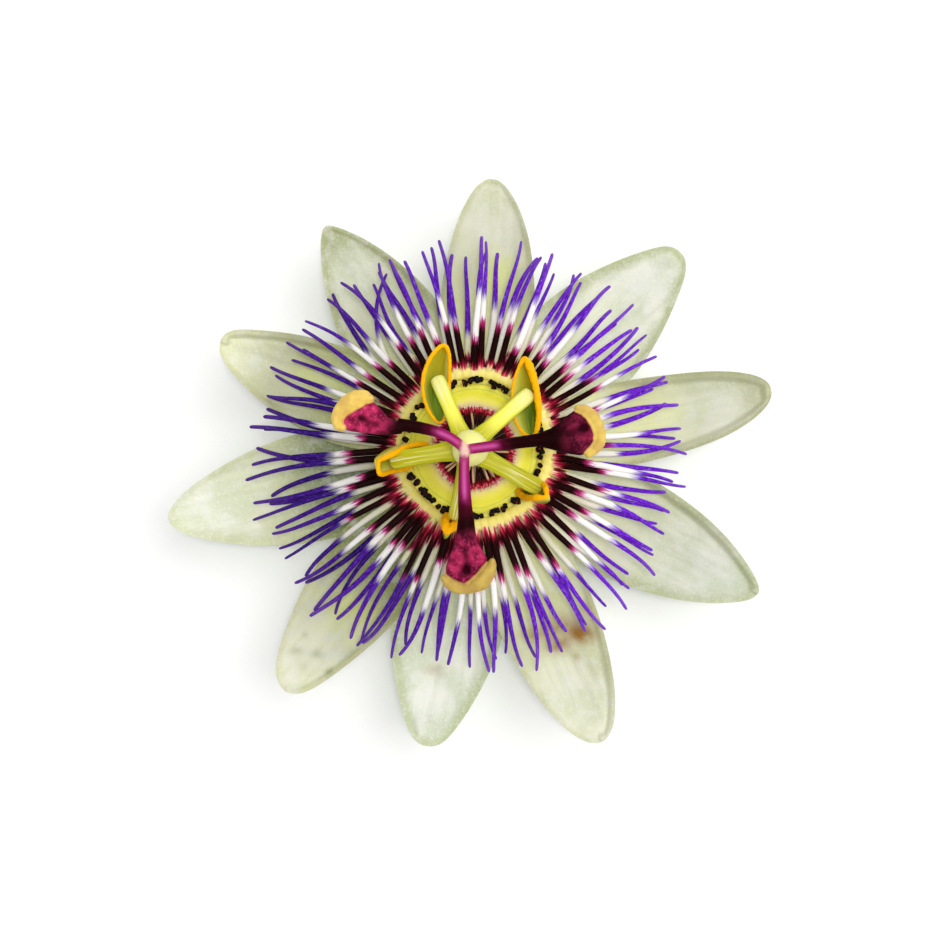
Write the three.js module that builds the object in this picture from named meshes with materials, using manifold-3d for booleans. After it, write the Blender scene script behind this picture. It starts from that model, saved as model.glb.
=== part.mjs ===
// A passion flower, picked close under its three bracts and lying face up.
// Millimetres, +Z up, the origin on the surface under the middle of the flower's outline.
import * as THREE from 'three';
import { mergeVertices } from 'three/addons/utils/BufferGeometryUtils.js';
import Module from 'manifold-3d';

const wasm = await Module();
wasm.setup();

// The flower's own axis, measured from the middle of its outline
const AXIS_X = 0.9;
const AXIS_Y = 2.0;

// Stem stub and floral cup
const STEM_RADIUS = 1.35;
const STEM_CUT_Z = 0.7;
const STEM_TOP_Z = 4.3;
const CUP_BOTTOM_Z = 4.6;
const CUP_TOP_Z = 9.9;
const CUP_RIM_RADIUS = 8.1;
const CUP_LOBES = 5;

// Three bracts under the flower, which it rests on
const BRACT_BEARINGS = [68, 188, 308];
const BRACT_ROOT_RADIUS = 2.05;
const BRACT_TIP_RADIUS = 19.5;
const BRACT_HALF_WIDTH = 6.2;
const BRACT_THICKNESS = 0.7;
const BRACT_ROOT_Z = 3.6;
const BRACT_TIP_Z = 2.2;
const BRACT_FLAT_START = 0.55;
const BRACT_FLAT_END = 0.76;

// Tepals: five petals over five sepals. Bearing in degrees, tip radius, half width, how pointed the
// tip is, sideways bend at the tip, and how far the margins are rolled up
const TEPAL_ROOT_RADIUS = 8.5;
const TEPAL_WIDEST = 0.4;
const TEPAL_ROOT_WIDTH = 0.6;
const PETALS = [
  { bearing: 9.4, tip: 42.0, half: 5.8, point: 0.5, bend: 1.5, roll: 1.3 },
  { bearing: 84.6, tip: 37.9, half: 6.6, point: 0.68, bend: 1.3, roll: 0.2 },
  { bearing: 158.5, tip: 38.3, half: 6.4, point: 0.65, bend: -1.1, roll: 0.7 },
  { bearing: 230.2, tip: 42.7, half: 6.9, point: 0.6, bend: 1.3, roll: 0.3 },
  { bearing: 293.4, tip: 44.5, half: 7.0, point: 0.57, bend: 0.0, roll: 0.2 },
];
const SEPALS = [
  { bearing: 43.3, tip: 39.7, half: 8.1, point: 0.66, bend: 0.0, roll: 0.4 },
  { bearing: 123.9, tip: 36.4, half: 7.4, point: 0.7, bend: 0.0, roll: 0.5 },
  { bearing: 193.0, tip: 44.2, half: 7.5, point: 0.8, bend: 0.0, roll: 0.2 },
  { bearing: 261.5, tip: 42.4, half: 8.0, point: 0.77, bend: -0.4, roll: 0.3 },
  { bearing: 332.9, tip: 44.8, half: 7.7, point: 0.78, bend: 0.0, roll: 0.4 },
];
const PETAL = { base: 9.9, dip: 0.8, rise: 1.7, cup: 1.6, cupFrom: 0.35, thick: 0.62, keel: 0 };
const SEPAL = { base: 8.2, dip: 0.7, rise: 2.4, cup: 1.5, cupFrom: 0.62, thick: 0.7, keel: 0.45 };
const AWN_LENGTH = 2.0;
const AWN_RADIUS = 0.5;

// Corona: two rows of long filaments, and inside them a short row with dark heads
const CORONA_COUNT = 60;
const CORONA_TIP_RADIUS = 30.0;
const CORONA_LEAN = 1.8;
const CORONA_LEAN_BEARING = 215;
const CORONA_ROOT_RADIUS = 10.9;
const UPPER_ROW = { seed: 71, offset: 0.15, root: 12.9, lift: 1.9, tip: 14.9, ring: [12.2, 13.4], short: 0 };
const LOWER_ROW = { seed: 29, offset: 0.6, root: 11.25, lift: 0.9, tip: 12.4, ring: [10.6, 11.8], short: 1.0 };
const HEAD_COUNT = 62;
const HEAD_RING_RADIUS = 9.7;
const HEAD_RADIUS = 0.4;
const HEAD_Z = 14.3;

// Nectar disc and the fringe inside it
const DISC_RADIUS = 9.15;
const DISC_BOTTOM_Z = 10.2;
const FRINGE_RADIUS = 5.7;
const FRINGE_COUNT = 32;
const FRINGE_INNER_RADIUS = 2.25;

// Column with the five stamen arms, and the anthers at their ends
const COLUMN_LEAN_X = -0.95;
const COLUMN_LEAN_Y = 0;
const COLUMN_RADIUS = 1.25;
const COLUMN_BOTTOM_Z = 11.25;
const COLUMN_TOP_Z = 21.0;
const ARM_Z = 20.5;
const ARM_HALF_WIDTH = 1.05;
const ARM_HALF_THICKNESS = 0.5;
const ANTHER_LENGTH = 11.4;
const ANTHER_HALF_WIDTH = 2.05;
const ANTHER_THICKNESS = 0.75;
const ANTHER_DEPTH = 1.5;
const ANTHER_SHEER = 0.9;
const ANTHER_DROP = 0.9;
// Bearing and reach of each arm. Then the bearing of its anther, how steeply the anther's outer end
// is tipped up, its roll, its sideways bow, and the place along it where the arm holds it
const STAMENS = [
  { bearing: 40.7, reach: 11.1, anther: 92, tipped: 0, roll: -16, bow: 0.1, held: 0.43 },
  { bearing: 113.3, reach: 10.5, anther: 87, tipped: 4, roll: 18, bow: 1.0, held: 0.42 },
  { bearing: 188.5, reach: 10.2, anther: 208, tipped: 52, roll: 0, bow: 0, held: 0.36 },
  { bearing: 259.3, reach: 9.8, anther: 258, tipped: 60, roll: 0, bow: 0, held: 0.32 },
  { bearing: 331.6, reach: 11.0, anther: 326, tipped: 60, roll: 0, bow: 0, held: 0.32 },
];

// Ovary and the three styles with their stigmas
const OVARY_BOTTOM_Z = 21.3;
const OVARY_TOP_Z = 27.4;
const OVARY_RADIUS = 2.35;
const OVARY_X = -0.55;
const OVARY_Y = 0.1;
const STYLE_ROOT_X = -1.25;
const STYLE_ROOT_Y = -0.3;
const STYLE_ROOT_Z = 28.15;
const STYLE_RISE = 1.6;
const STYLE_HALF_WIDTH = 0.68;
const STIGMA_HALF_WIDTH = 3.35;
const STYLES = [
  { bearing: 7.4, reach: 18.2, bow: -0.1, stigma: 0.97 },
  { bearing: 163.4, reach: 17.7, bow: -1.4, stigma: 0.97 },
  { bearing: 271.7, reach: 18.6, bow: -0.2, stigma: 1.05 },
];

const TURN = Math.PI / 180;
const flower = new THREE.Group();
flower.position.set(AXIS_X, AXIS_Y, 0);

// Seeded random numbers, the same on every run
function randomFrom(seed) {
  let state = seed;
  for (let i = 0; i < 5; i += 1) state = (state * 48271) % 2147483647;
  return () => {
    state = (state * 48271) % 2147483647;
    return state / 2147483647;
  };
}

function smooth(value) {
  const t = Math.min(Math.max(value, 0), 1);
  return t * t * (3 - 2 * t);
}

// Joins triangles of shared points into one geometry
function geometryOf(points, faces) {
  const geometry = new THREE.BufferGeometry();
  const positions = new Float32Array(points.flatMap((p) => [p.x, p.y, p.z]));
  geometry.setAttribute('position', new THREE.BufferAttribute(positions, 3));
  geometry.setIndex(faces.flat());
  return geometry;
}

// A closed solid through a row of rings, all with the same number of points, ends closed by fans
function loft(rings) {
  const sides = rings[0].length;
  const points = rings.flat();
  const faces = [];
  for (let i = 0; i + 1 < rings.length; i += 1) {
    for (let j = 0; j < sides; j += 1) {
      const k = (j + 1) % sides;
      const a = i * sides + j;
      const b = i * sides + k;
      faces.push([a, b, b + sides], [a, b + sides, a + sides]);
    }
  }
  const last = (rings.length - 1) * sides;
  for (let j = 1; j + 1 < sides; j += 1) {
    faces.push([0, j + 1, j], [last, last + j, last + j + 1]);
  }
  return geometryOf(points, faces);
}

// A closed blade from its upper surface top(s, u) and its thickness under each point. Both faces are
// split into triangles alike
function blade(top, thicknessAt, alongStops, acrossStops) {
  const upper = [];
  const lower = [];
  for (const s of alongStops) {
    for (const u of acrossStops) {
      const p = top(s, u);
      upper.push(p);
      lower.push(p.clone().add(thicknessAt(s, u)));
    }
  }
  const across = acrossStops.length;
  const shift = upper.length;
  const faces = [];
  const quad = (a, b, c, d) => faces.push([a, b, c], [a, c, d]);
  for (let i = 0; i + 1 < alongStops.length; i += 1) {
    for (let j = 0; j + 1 < across; j += 1) {
      const a = i * across + j;
      const b = a + across;
      faces.push([a, b, b + 1], [a, b + 1, a + 1]);
      faces.push([a + shift, b + 1 + shift, b + shift], [a + shift, a + 1 + shift, b + 1 + shift]);
    }
    const left = i * across;
    const right = left + across - 1;
    quad(left, left + shift, left + across + shift, left + across);
    quad(right, right + across, right + across + shift, right + shift);
  }
  const end = (alongStops.length - 1) * across;
  for (let j = 0; j + 1 < across; j += 1) {
    quad(j, j + 1, j + 1 + shift, j + shift);
    quad(end + j, end + j + shift, end + j + 1 + shift, end + j + 1);
  }
  return geometryOf([...upper, ...lower], faces);
}

// A tapered strand along a path. Its sections have a half width across and a half thickness up
function strand(path, halfWidths, halfThicknesses, sides) {
  const rings = path.map((p, i) => {
    const before = path[Math.max(i - 1, 0)];
    const after = path[Math.min(i + 1, path.length - 1)];
    const along = after.clone().sub(before).normalize();
    const across = new THREE.Vector3(-along.y, along.x, 0).normalize();
    const up = along.clone().cross(across).normalize();
    const ring = [];
    for (let j = 0; j < sides; j += 1) {
      const a = (j / sides) * Math.PI * 2;
      ring.push(p.clone()
        .addScaledVector(across, Math.cos(a) * halfWidths[i])
        .addScaledVector(up, Math.sin(a) * halfThicknesses[i]));
    }
    return ring;
  });
  return loft(rings);
}

// A solid of revolution from [radius, height] corners, starting and ending on the axis or closed
function turned(corners, sides) {
  const geometry = new THREE.LatheGeometry(corners.map(([r, z]) => new THREE.Vector2(r, z)), sides);
  geometry.rotateX(Math.PI / 2);
  return geometry;
}

function toSolid(geometry) {
  const bare = geometry.clone();
  bare.deleteAttribute('normal');
  bare.deleteAttribute('uv');
  const merged = mergeVertices(bare, 1e-4);
  const triangles = [];
  const index = merged.index.array;
  for (let i = 0; i < index.length; i += 3) {
    const [a, b, c] = [index[i], index[i + 1], index[i + 2]];
    if (a !== b && b !== c && c !== a) triangles.push(a, b, c);
  }
  return new wasm.Manifold(new wasm.Mesh({
    numProp: 3,
    vertProperties: new Float32Array(merged.attributes.position.array),
    triVerts: new Uint32Array(triangles),
  }));
}

function fromSolid(solid) {
  const mesh = solid.getMesh();
  const geometry = new THREE.BufferGeometry();
  geometry.setAttribute('position', new THREE.BufferAttribute(new Float32Array(mesh.vertProperties), 3));
  geometry.setIndex(Array.from(mesh.triVerts));
  return geometry;
}

// Joins a body and the pieces rooted in it into one solid
function fused(body, pieces) {
  let solid = toSolid(body);
  for (const piece of pieces) {
    solid = solid.add(toSolid(piece));
  }
  return fromSolid(solid);
}

function place(name, geometry, colour, roughness) {
  const material = new THREE.MeshStandardMaterial({ color: colour, roughness, metalness: 0 });
  const mesh = new THREE.Mesh(geometry, material);
  mesh.name = name;
  flower.add(mesh);
}

function polar(radius, bearing, z) {
  return new THREE.Vector3(radius * Math.cos(bearing * TURN), radius * Math.sin(bearing * TURN), z);
}

// Stem stub
function makePedicel() {
  const corners = [
    [0, STEM_CUT_Z],
    [STEM_RADIUS * 0.9, STEM_CUT_Z],
    [STEM_RADIUS, STEM_CUT_Z + 0.3],
    [STEM_RADIUS * 1.05, 2.6],
    [STEM_RADIUS * 1.25, STEM_TOP_Z],
    [0, STEM_TOP_Z],
  ];
  place('pedicel', turned(corners, 12), 0x8fa24e, 0.6);
}

// Floral cup: a solid bowl with five faint lobes and a dimpled underside
function makeCup() {
  const profile = [
    [0.6, CUP_BOTTOM_Z + 0.25],
    [2.4, CUP_BOTTOM_Z],
    [4.6, CUP_BOTTOM_Z + 0.3],
    [6.6, CUP_BOTTOM_Z + 1.5],
    [7.7, CUP_BOTTOM_Z + 3.1],
    [CUP_RIM_RADIUS, CUP_TOP_Z - 0.5],
    [CUP_RIM_RADIUS - 0.2, CUP_TOP_Z],
    [4.0, CUP_TOP_Z],
    [0.6, CUP_TOP_Z],
  ];
  const sides = 20;
  const rings = profile.map(([radius, z]) => {
    const ring = [];
    for (let j = 0; j < sides; j += 1) {
      const bearing = (j / sides) * 360;
      const lobe = Math.cos(CUP_LOBES * bearing * TURN) * 0.16 * smooth((CUP_TOP_Z - 1.5 - z) / 3);
      ring.push(polar(radius * (1 + lobe * smooth(radius / 5)), bearing, z));
    }
    return ring;
  });
  place('floral_cup', loft(rings), 0xa9b867, 0.6);
}

// Bract: a small green leaf that arches down to a flat spot on the surface
function bractHeight(s) {
  const fall = smooth(s / BRACT_FLAT_START);
  const climb = smooth((s - BRACT_FLAT_END) / (1 - BRACT_FLAT_END));
  return BRACT_ROOT_Z * (1 - fall) + BRACT_TIP_Z * climb + BRACT_THICKNESS;
}

function bractHalfWidth(s) {
  const base = 0.16 + 0.84 * Math.sin((Math.PI / 2) * Math.min(s / 0.5, 1));
  const end = Math.max((s - 0.5) / 0.5, 0);
  return BRACT_HALF_WIDTH * base * (1 - end * end) ** 0.75;
}

function makeBract(index, bearing) {
  const stops = [0, 0.14, 0.28, 0.42, BRACT_FLAT_START, BRACT_FLAT_END, 0.86, 0.94, 0.99];
  const length = BRACT_TIP_RADIUS - BRACT_ROOT_RADIUS;
  const top = (s, u) => {
    const lift = 1.3 * Math.max(Math.abs(u) - 0.5, 0) * smooth(s / 0.3);
    const p = new THREE.Vector3(
      BRACT_ROOT_RADIUS + length * s,
      u * bractHalfWidth(s),
      bractHeight(s) + lift,
    );
    return p.applyAxisAngle(new THREE.Vector3(0, 0, 1), bearing * TURN);
  };
  const down = () => new THREE.Vector3(0, 0, -BRACT_THICKNESS);
  place(`bract_${index}`, blade(top, down, stops, [-1, -0.5, 0, 0.5, 1]), 0x7f9d4a, 0.6);
}

// Tepals
function tepalHalfWidth(spec, s) {
  const base = TEPAL_ROOT_WIDTH
    + (1 - TEPAL_ROOT_WIDTH) * Math.sin((Math.PI / 2) * Math.min(s / TEPAL_WIDEST, 1));
  const end = Math.max((s - TEPAL_WIDEST) / (1 - TEPAL_WIDEST), 0);
  return spec.half * base * (1 - end * end) ** spec.point;
}

function tepalPoint(spec, whorl, s, u) {
  const half = tepalHalfWidth(spec, s);
  const fullness = (half / spec.half) ** 2;
  const middle = whorl.base + whorl.rise * s * s - whorl.dip * Math.sin(Math.PI * s ** 0.8);
  const cup = whorl.cup * fullness * Math.min(s / whorl.cupFrom, 1) * u * u;
  const roll = spec.roll * smooth((s - 0.45) / 0.3) * Math.sqrt(fullness) * Math.abs(u) ** 5;
  const p = new THREE.Vector3(
    TEPAL_ROOT_RADIUS + (spec.tip - TEPAL_ROOT_RADIUS) * s,
    u * half + spec.bend * s ** 3,
    middle + cup + roll,
  );
  return p.applyAxisAngle(new THREE.Vector3(0, 0, 1), spec.bearing * TURN);
}

function tepalBlade(spec, whorl) {
  const along = [0, 0.14, 0.3, 0.46, 0.62, 0.76, 0.88, 0.96, 0.995];
  const across = [-1, -0.6, 0, 0.6, 1];
  const under = (s, u) => new THREE.Vector3(0, 0, -whorl.thick - (u === 0 ? whorl.keel * (1 - s) : 0));
  return blade((s, u) => tepalPoint(spec, whorl, s, u), under, along, across);
}

// The small horn behind a sepal's tip, on its underside
function awn(spec) {
  const root = tepalPoint(spec, SEPAL, 0.9, 0);
  const out = polar(1, spec.bearing, 0);
  const path = [0, 0.5, 1].map((t) => root.clone()
    .addScaledVector(out, t * AWN_LENGTH)
    .add(new THREE.Vector3(0, 0, -0.35 - 1.3 * t)));
  const radii = [AWN_RADIUS, AWN_RADIUS * 0.7, AWN_RADIUS * 0.2];
  return strand(path, radii, radii, 5);
}

// Corona filaments. Each leans a little to its neighbour and sways towards its tip
function coronaPaths(row) {
  const random = randomFrom(row.seed);
  const paths = [];
  for (let i = 0; i < CORONA_COUNT; i += 1) {
    const pair = i % 2 === 0 ? 1 : -1;
    const bearing = ((i + row.offset + 0.3 * (random() - 0.5)) * 360) / CORONA_COUNT;
    const lean = pair * (0.9 + 0.8 * random());
    const sway = (random() - 0.5) * 7 - pair * 1.2;
    const away = Math.cos((bearing - CORONA_LEAN_BEARING) * TURN);
    const tip = CORONA_TIP_RADIUS + CORONA_LEAN * away - row.short + 2.6 * (random() - 0.6);
    const height = row.tip + 0.7 * (random() - 0.5);
    const swerve = row.short * 17 * smooth(1 - Math.abs(bearing - 136) / 12);
    const path = [0, 0.26, 0.5, 0.75, 1].map((s) => polar(
      CORONA_ROOT_RADIUS + (tip - CORONA_ROOT_RADIUS) * s,
      bearing + lean * Math.sin(Math.PI * 0.8 * s) + (sway - swerve) * s * s,
      row.root + (height - row.root) * s + row.lift * Math.sin(Math.PI * s) * 0.7,
    ));
    paths.push(path);
  }
  return paths;
}

function makeCoronaRow(name, row, colour) {
  const [low, high] = row.ring;
  const ring = turned([[10.5, low], [11.7, low], [11.7, high], [10.5, high], [10.5, low]], 30);
  const widths = [0.48, 0.5, 0.46, 0.38, 0.24];
  const thicknesses = [0.46, 0.42, 0.38, 0.32, 0.2];
  const filaments = coronaPaths(row).map((path) => strand(path, widths, thicknesses, 3));
  place(name, fused(ring, filaments), colour, 0.5);
}

function makeInnerRow() {
  const ring = turned([[9.45, 10.6], [10.2, 10.6], [10.1, 12.8], [9.45, 12.8], [9.45, 10.6]], 30);
  const random = randomFrom(53);
  const stalks = [];
  for (let i = 0; i < HEAD_COUNT; i += 1) {
    const bearing = ((i + 0.7 * (random() - 0.5)) * 360) / HEAD_COUNT;
    const radius = HEAD_RING_RADIUS + 0.7 * (random() - 0.5);
    const z = HEAD_Z + 0.5 * (random() - 0.5);
    const path = [
      polar(HEAD_RING_RADIUS + 0.05, bearing, 12.3),
      polar(radius, bearing, z - 0.1),
      polar(radius - 0.1, bearing, z + 0.35),
    ];
    const radii = [0.2, HEAD_RADIUS, HEAD_RADIUS * 0.6];
    stalks.push(strand(path, radii, radii, 3));
  }
  place('corona_inner_row', fused(ring, stalks), 0x20101a, 0.5);
}

// Nectar disc: a stepped yellow ring round a shallow well
function makeDisc() {
  const corners = [
    [0, DISC_BOTTOM_Z],
    [DISC_RADIUS, DISC_BOTTOM_Z],
    [DISC_RADIUS, 11.6],
    [8.8, 12.05],
    [8.2, 12.1],
    [7.5, 11.75],
    [6.9, 12.0],
    [6.4, 11.95],
    [6.1, 11.6],
    [6.0, 10.9],
    [0, 10.9],
  ];
  place('nectar_disc', turned(corners, 24), 0xdbe063, 0.5);
}

// Fringe: dark strands that run from the disc's inner edge towards the column
function makeFringe() {
  const ring = turned([[5.0, 11.2], [FRINGE_RADIUS, 11.2], [FRINGE_RADIUS, 12.2], [5.0, 12.2],
    [5.0, 11.2]], 24);
  const random = randomFrom(17);
  const strands = [];
  for (let i = 0; i < FRINGE_COUNT; i += 1) {
    const bearing = ((i + 0.4 * (random() - 0.5)) * 360) / FRINGE_COUNT;
    const inner = FRINGE_INNER_RADIUS + 0.5 * random();
    const path = [0, 0.5, 1].map((s) => polar(
      5.3 + (inner - 5.3) * s,
      bearing + 4 * (random() - 0.5) * s,
      11.9 + 0.45 * Math.sin(Math.PI * s) + 0.2 * s,
    ));
    strands.push(strand(path, [0.34, 0.26, 0.14], [0.3, 0.24, 0.14], 3));
  }
  place('operculum_fringe', fused(ring, strands), 0x4a1020, 0.5);
}

// Column: leans off the axis and carries five flat stamen arms
function columnCentre(z) {
  const t = smooth((z - COLUMN_BOTTOM_Z) / (COLUMN_TOP_Z - COLUMN_BOTTOM_Z));
  return new THREE.Vector3(COLUMN_LEAN_X * t, COLUMN_LEAN_Y * t, z);
}

function armEnd(stamen) {
  const top = columnCentre(COLUMN_TOP_Z);
  return polar(stamen.reach, stamen.bearing, ARM_Z).add(new THREE.Vector3(top.x, top.y, 0));
}

function makeAndrogynophore() {
  const profile = [[1.6, COLUMN_BOTTOM_Z], [1.45, 11.9], [COLUMN_RADIUS, 13], [COLUMN_RADIUS, 16],
    [1.35, 18.5], [1.9, 20], [1.9, COLUMN_TOP_Z - 0.3], [1.5, COLUMN_TOP_Z]];
  const sides = 12;
  const rings = profile.map(([radius, z]) => {
    const centre = columnCentre(z);
    const ring = [];
    for (let j = 0; j < sides; j += 1) {
      ring.push(polar(radius, (j / sides) * 360, 0).add(centre));
    }
    return ring;
  });
  const arms = STAMENS.map((stamen) => {
    const top = columnCentre(COLUMN_TOP_Z);
    const root = new THREE.Vector3(top.x, top.y, ARM_Z);
    const end = armEnd(stamen);
    const path = [0.04, 0.3, 0.6, 0.88, 1].map((s) => root.clone().lerp(end, s)
      .add(new THREE.Vector3(0, 0, 0.5 * Math.sin(Math.PI * s) - 0.9 * s ** 6)));
    const w = ARM_HALF_WIDTH;
    const t = ARM_HALF_THICKNESS;
    return strand(path, [w * 1.1, w * 0.95, w, w * 1.06, w * 0.6], [t, t, t * 0.9, t * 0.8, t * 0.5], 6);
  });
  place('androgynophore', fused(loft(rings), arms), 0xc3cf52, 0.5);
}

// Anther: a shallow boat held under the end of its arm, hollow side to the arm
function makeAnther(index, stamen) {
  const axis = polar(Math.cos(stamen.tipped * TURN), stamen.anther, Math.sin(stamen.tipped * TURN));
  const across = new THREE.Vector3(-Math.sin(stamen.anther * TURN), Math.cos(stamen.anther * TURN), 0);
  across.applyAxisAngle(axis, stamen.roll * TURN);
  const back = axis.clone().cross(across);
  const centre = armEnd(stamen)
    .add(new THREE.Vector3(0, 0, -0.9))
    .addScaledVector(back, -ANTHER_DROP)
    .addScaledVector(axis, (0.5 - stamen.held) * -ANTHER_LENGTH);
  const along = [0, 0.1, 0.28, 0.5, 0.72, 0.9, 1];
  const top = (s, u) => {
    const t = 2 * s - 1;
    const full = 0.94 * Math.max(1 - t * t, 0) ** 0.65 + 0.06;
    return centre.clone()
      .addScaledVector(axis, -t * ANTHER_LENGTH * 0.5)
      .addScaledVector(across, u * ANTHER_HALF_WIDTH * full - stamen.bow * t * t)
      .addScaledVector(back, ANTHER_DEPTH * u * u * full + ANTHER_SHEER * t * t);
  };
  const under = () => back.clone().multiplyScalar(-ANTHER_THICKNESS);
  place(`anther_${index}`, blade(top, under, along, [1, 0.6, 0, -0.6, -1]), 0xe0a020, 0.6);
}

// Ovary: an egg on the column's top
function makeOvary() {
  const height = OVARY_TOP_Z - OVARY_BOTTOM_Z;
  const corners = [[0, OVARY_BOTTOM_Z]];
  for (const s of [0.02, 0.14, 0.3, 0.46, 0.62, 0.78, 0.91, 0.985]) {
    const t = 2 * s ** 0.9 - 1;
    corners.push([OVARY_RADIUS * Math.sqrt(1 - t * t) ** 0.85, OVARY_BOTTOM_Z + height * s]);
  }
  corners.push([0, OVARY_TOP_Z]);
  const geometry = turned(corners, 12);
  geometry.translate(OVARY_X, OVARY_Y, 0);
  place('ovary', geometry, 0xdfe79a, 0.5);
}

// Style: rises from the ovary's top, runs outwards and widens into a stigma
function makeStyle(index, spec) {
  const root = new THREE.Vector3(STYLE_ROOT_X, STYLE_ROOT_Y, STYLE_ROOT_Z);
  const stops = [0.055, 0.2, 0.39, 0.53, 0.65, 0.73, 0.8, 0.88, 0.95, 1];
  const swell = [0, 0, 0.02, 0.14, 0.31, 0.61, 0.92, 1, 0.72, 0.12];
  const widths = swell.map((t) => STYLE_HALF_WIDTH
    + (STIGMA_HALF_WIDTH * spec.stigma - STYLE_HALF_WIDTH) * t);
  const thicknesses = [0.62, 0.66, 0.68, 0.75, 0.9, 1.2, 1.5, 1.6, 1.3, 0.7];
  const out = polar(1, spec.bearing, 0);
  const side = polar(1, spec.bearing + 90, 0);
  const path = stops.map((s) => root.clone()
    .addScaledVector(out, spec.reach * s)
    .addScaledVector(side, spec.bow * 9.5 * s * (1 - s) ** 3)
    .add(new THREE.Vector3(0, 0, STYLE_RISE * (smooth(s / 0.8) - 0.7 * s ** 3))));
  place(`style_${index}`, strand(path, widths, thicknesses, 8), 0x6e1838, 0.5);
}

makePedicel();
makeCup();
BRACT_BEARINGS.forEach((bearing, i) => makeBract(i + 1, bearing));
SEPALS.forEach((spec, i) => {
  place(`sepal_${i + 1}`, fused(tepalBlade(spec, SEPAL), [awn(spec)]), 0xdfe6cf, 0.55);
});
PETALS.forEach((spec, i) => {
  place(`petal_${i + 1}`, tepalBlade(spec, PETAL), 0xe9edd8, 0.55);
});
makeCoronaRow('corona_lower_row', LOWER_ROW, 0x5a35b0);
makeCoronaRow('corona_upper_row', UPPER_ROW, 0x6a3fc4);
makeInnerRow();
makeDisc();
makeFringe();
makeAndrogynophore();
STAMENS.forEach((stamen, i) => makeAnther(i + 1, stamen));
makeOvary();
STYLES.forEach((spec, i) => makeStyle(i + 1, spec));

export default flower;
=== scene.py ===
"""A passion flower lying face up on a pale surface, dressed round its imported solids.

Lengths are in millimetres from the flower's own axis, with +Z up, until a mesh is made. Bearings are
in degrees.
"""
import math
from types import SimpleNamespace

import bmesh
import bpy
from mathutils import Matrix, Vector, noise

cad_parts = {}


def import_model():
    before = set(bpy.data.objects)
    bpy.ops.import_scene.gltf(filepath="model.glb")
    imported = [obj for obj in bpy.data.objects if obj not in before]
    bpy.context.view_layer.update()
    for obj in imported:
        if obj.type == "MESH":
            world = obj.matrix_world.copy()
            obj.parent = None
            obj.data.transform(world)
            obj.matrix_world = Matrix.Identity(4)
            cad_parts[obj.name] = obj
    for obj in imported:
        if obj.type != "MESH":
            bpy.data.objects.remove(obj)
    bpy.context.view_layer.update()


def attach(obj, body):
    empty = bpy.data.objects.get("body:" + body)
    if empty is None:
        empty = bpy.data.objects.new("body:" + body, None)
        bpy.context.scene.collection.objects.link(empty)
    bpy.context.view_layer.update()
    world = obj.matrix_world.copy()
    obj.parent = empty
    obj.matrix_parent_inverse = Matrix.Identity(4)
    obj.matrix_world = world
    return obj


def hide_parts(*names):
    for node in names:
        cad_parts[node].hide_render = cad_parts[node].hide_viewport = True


def table(columns, *rows):
    """An item for each row of values, which go by the names of the columns."""
    return [SimpleNamespace(**dict(zip(columns.split(), row))) for row in rows]


MM = 0.001
UP = Vector((0, 0, 1))
AXIS_X = 0.9
AXIS_Y = 2.0

# Camera straight above the middle of the photograph, 200 mm over the tepals
CAMERA_X = 0.2
CAMERA_Y = -0.8
CAMERA_Z = 212.0
VIEW_WIDTH = 131.32
VIEW_DISTANCE = 200.0
SENSOR = 36.0

# Stem stub and floral cup
STEM_RADIUS = 1.35
STEM_CUT_Z = 0.7
STEM_TOP_Z = 4.3
CUP_BOTTOM_Z = 4.6
CUP_TOP_Z = 9.9
CUP_RIM_RADIUS = 8.1
CUP_LOBES = 5
CUP_RIBS = 20

# Three bracts under the flower, which it rests on
BRACT_BEARINGS = [68, 188, 308]
BRACT_ROOT_RADIUS = 2.05
BRACT_TIP_RADIUS = 19.5
BRACT_HALF_WIDTH = 6.2
BRACT_THICKNESS = 0.7
BRACT_ROOT_Z = 3.6
BRACT_TIP_Z = 2.2
BRACT_FLAT_START = 0.55
BRACT_FLAT_END = 0.76

# Tepals: five petals over five sepals. Bearing, tip radius and half width. Then how much the blade
# tapers and how late, how blunt the tip is, its sideways bend, how far the margins are rolled up, the
# heights of a folded left and right margin, and that of a raised tip (hood). warm is 0 for a cool white
# blade and 1 for a cream one, tone its lightness at TONE_PLACES, the first of them near the corona a
# painted light and shade, dusk how much painted shade its inner part has, and olive how green its tip is
TEPAL_ROOT_RADIUS = 8.5
TEPAL_WIDEST = 0.4
TEPAL_ROOT_WIDTH = 0.6
TEPAL_ROWS = 92
TEPAL_POINTS_ACROSS = 49
TONE_PLACES = (0.2, 0.5, 0.7, 0.95)
TEPAL_COLUMNS = ("bearing tip half taper curve blunt bend roll fold_left fold_right hood warm tone "
                 "dusk olive")
PETALS = table(
    TEPAL_COLUMNS,
    (9.4, 42.1, 5.9, 0.40, 1.6, 6, 1.3, 1.3, 0.75, 0.8, 1.1, 0.5, (1.12, 0.82, 0.735, 0.82), 0.0, 0.6),
    (84.6, 37.9, 6.7, 0.39, 1.4, 4, 1.0, 0.2, 0.15, 0.2, 0.3, 0.7, (1.05, 0.76, 0.735, 0.82), 0.12, 0.15),
    (158.5, 38.5, 6.6, 0.72, 1.9, 24, -1.0, 0.7, 0.15, 0.7, 0.4, 0.9, (1.0, 0.70, 0.64, 0.97), 0.35, 0.0),
    (230.2, 43.0, 7.0, 0.68, 1.9, 19, 1.1, 0.3, 0.35, 0.05, 0.2, 1.0, (1.0, 0.64, 0.67, 0.83), 0.8, 0.0),
    (293.4, 44.7, 7.0, 0.63, 2.1, 13, 0.0, 0.2, 0.5, 0.1, 0.3, 0.6, (1.08, 0.80, 0.79, 0.86), 0.1, 0.1),
)
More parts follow.
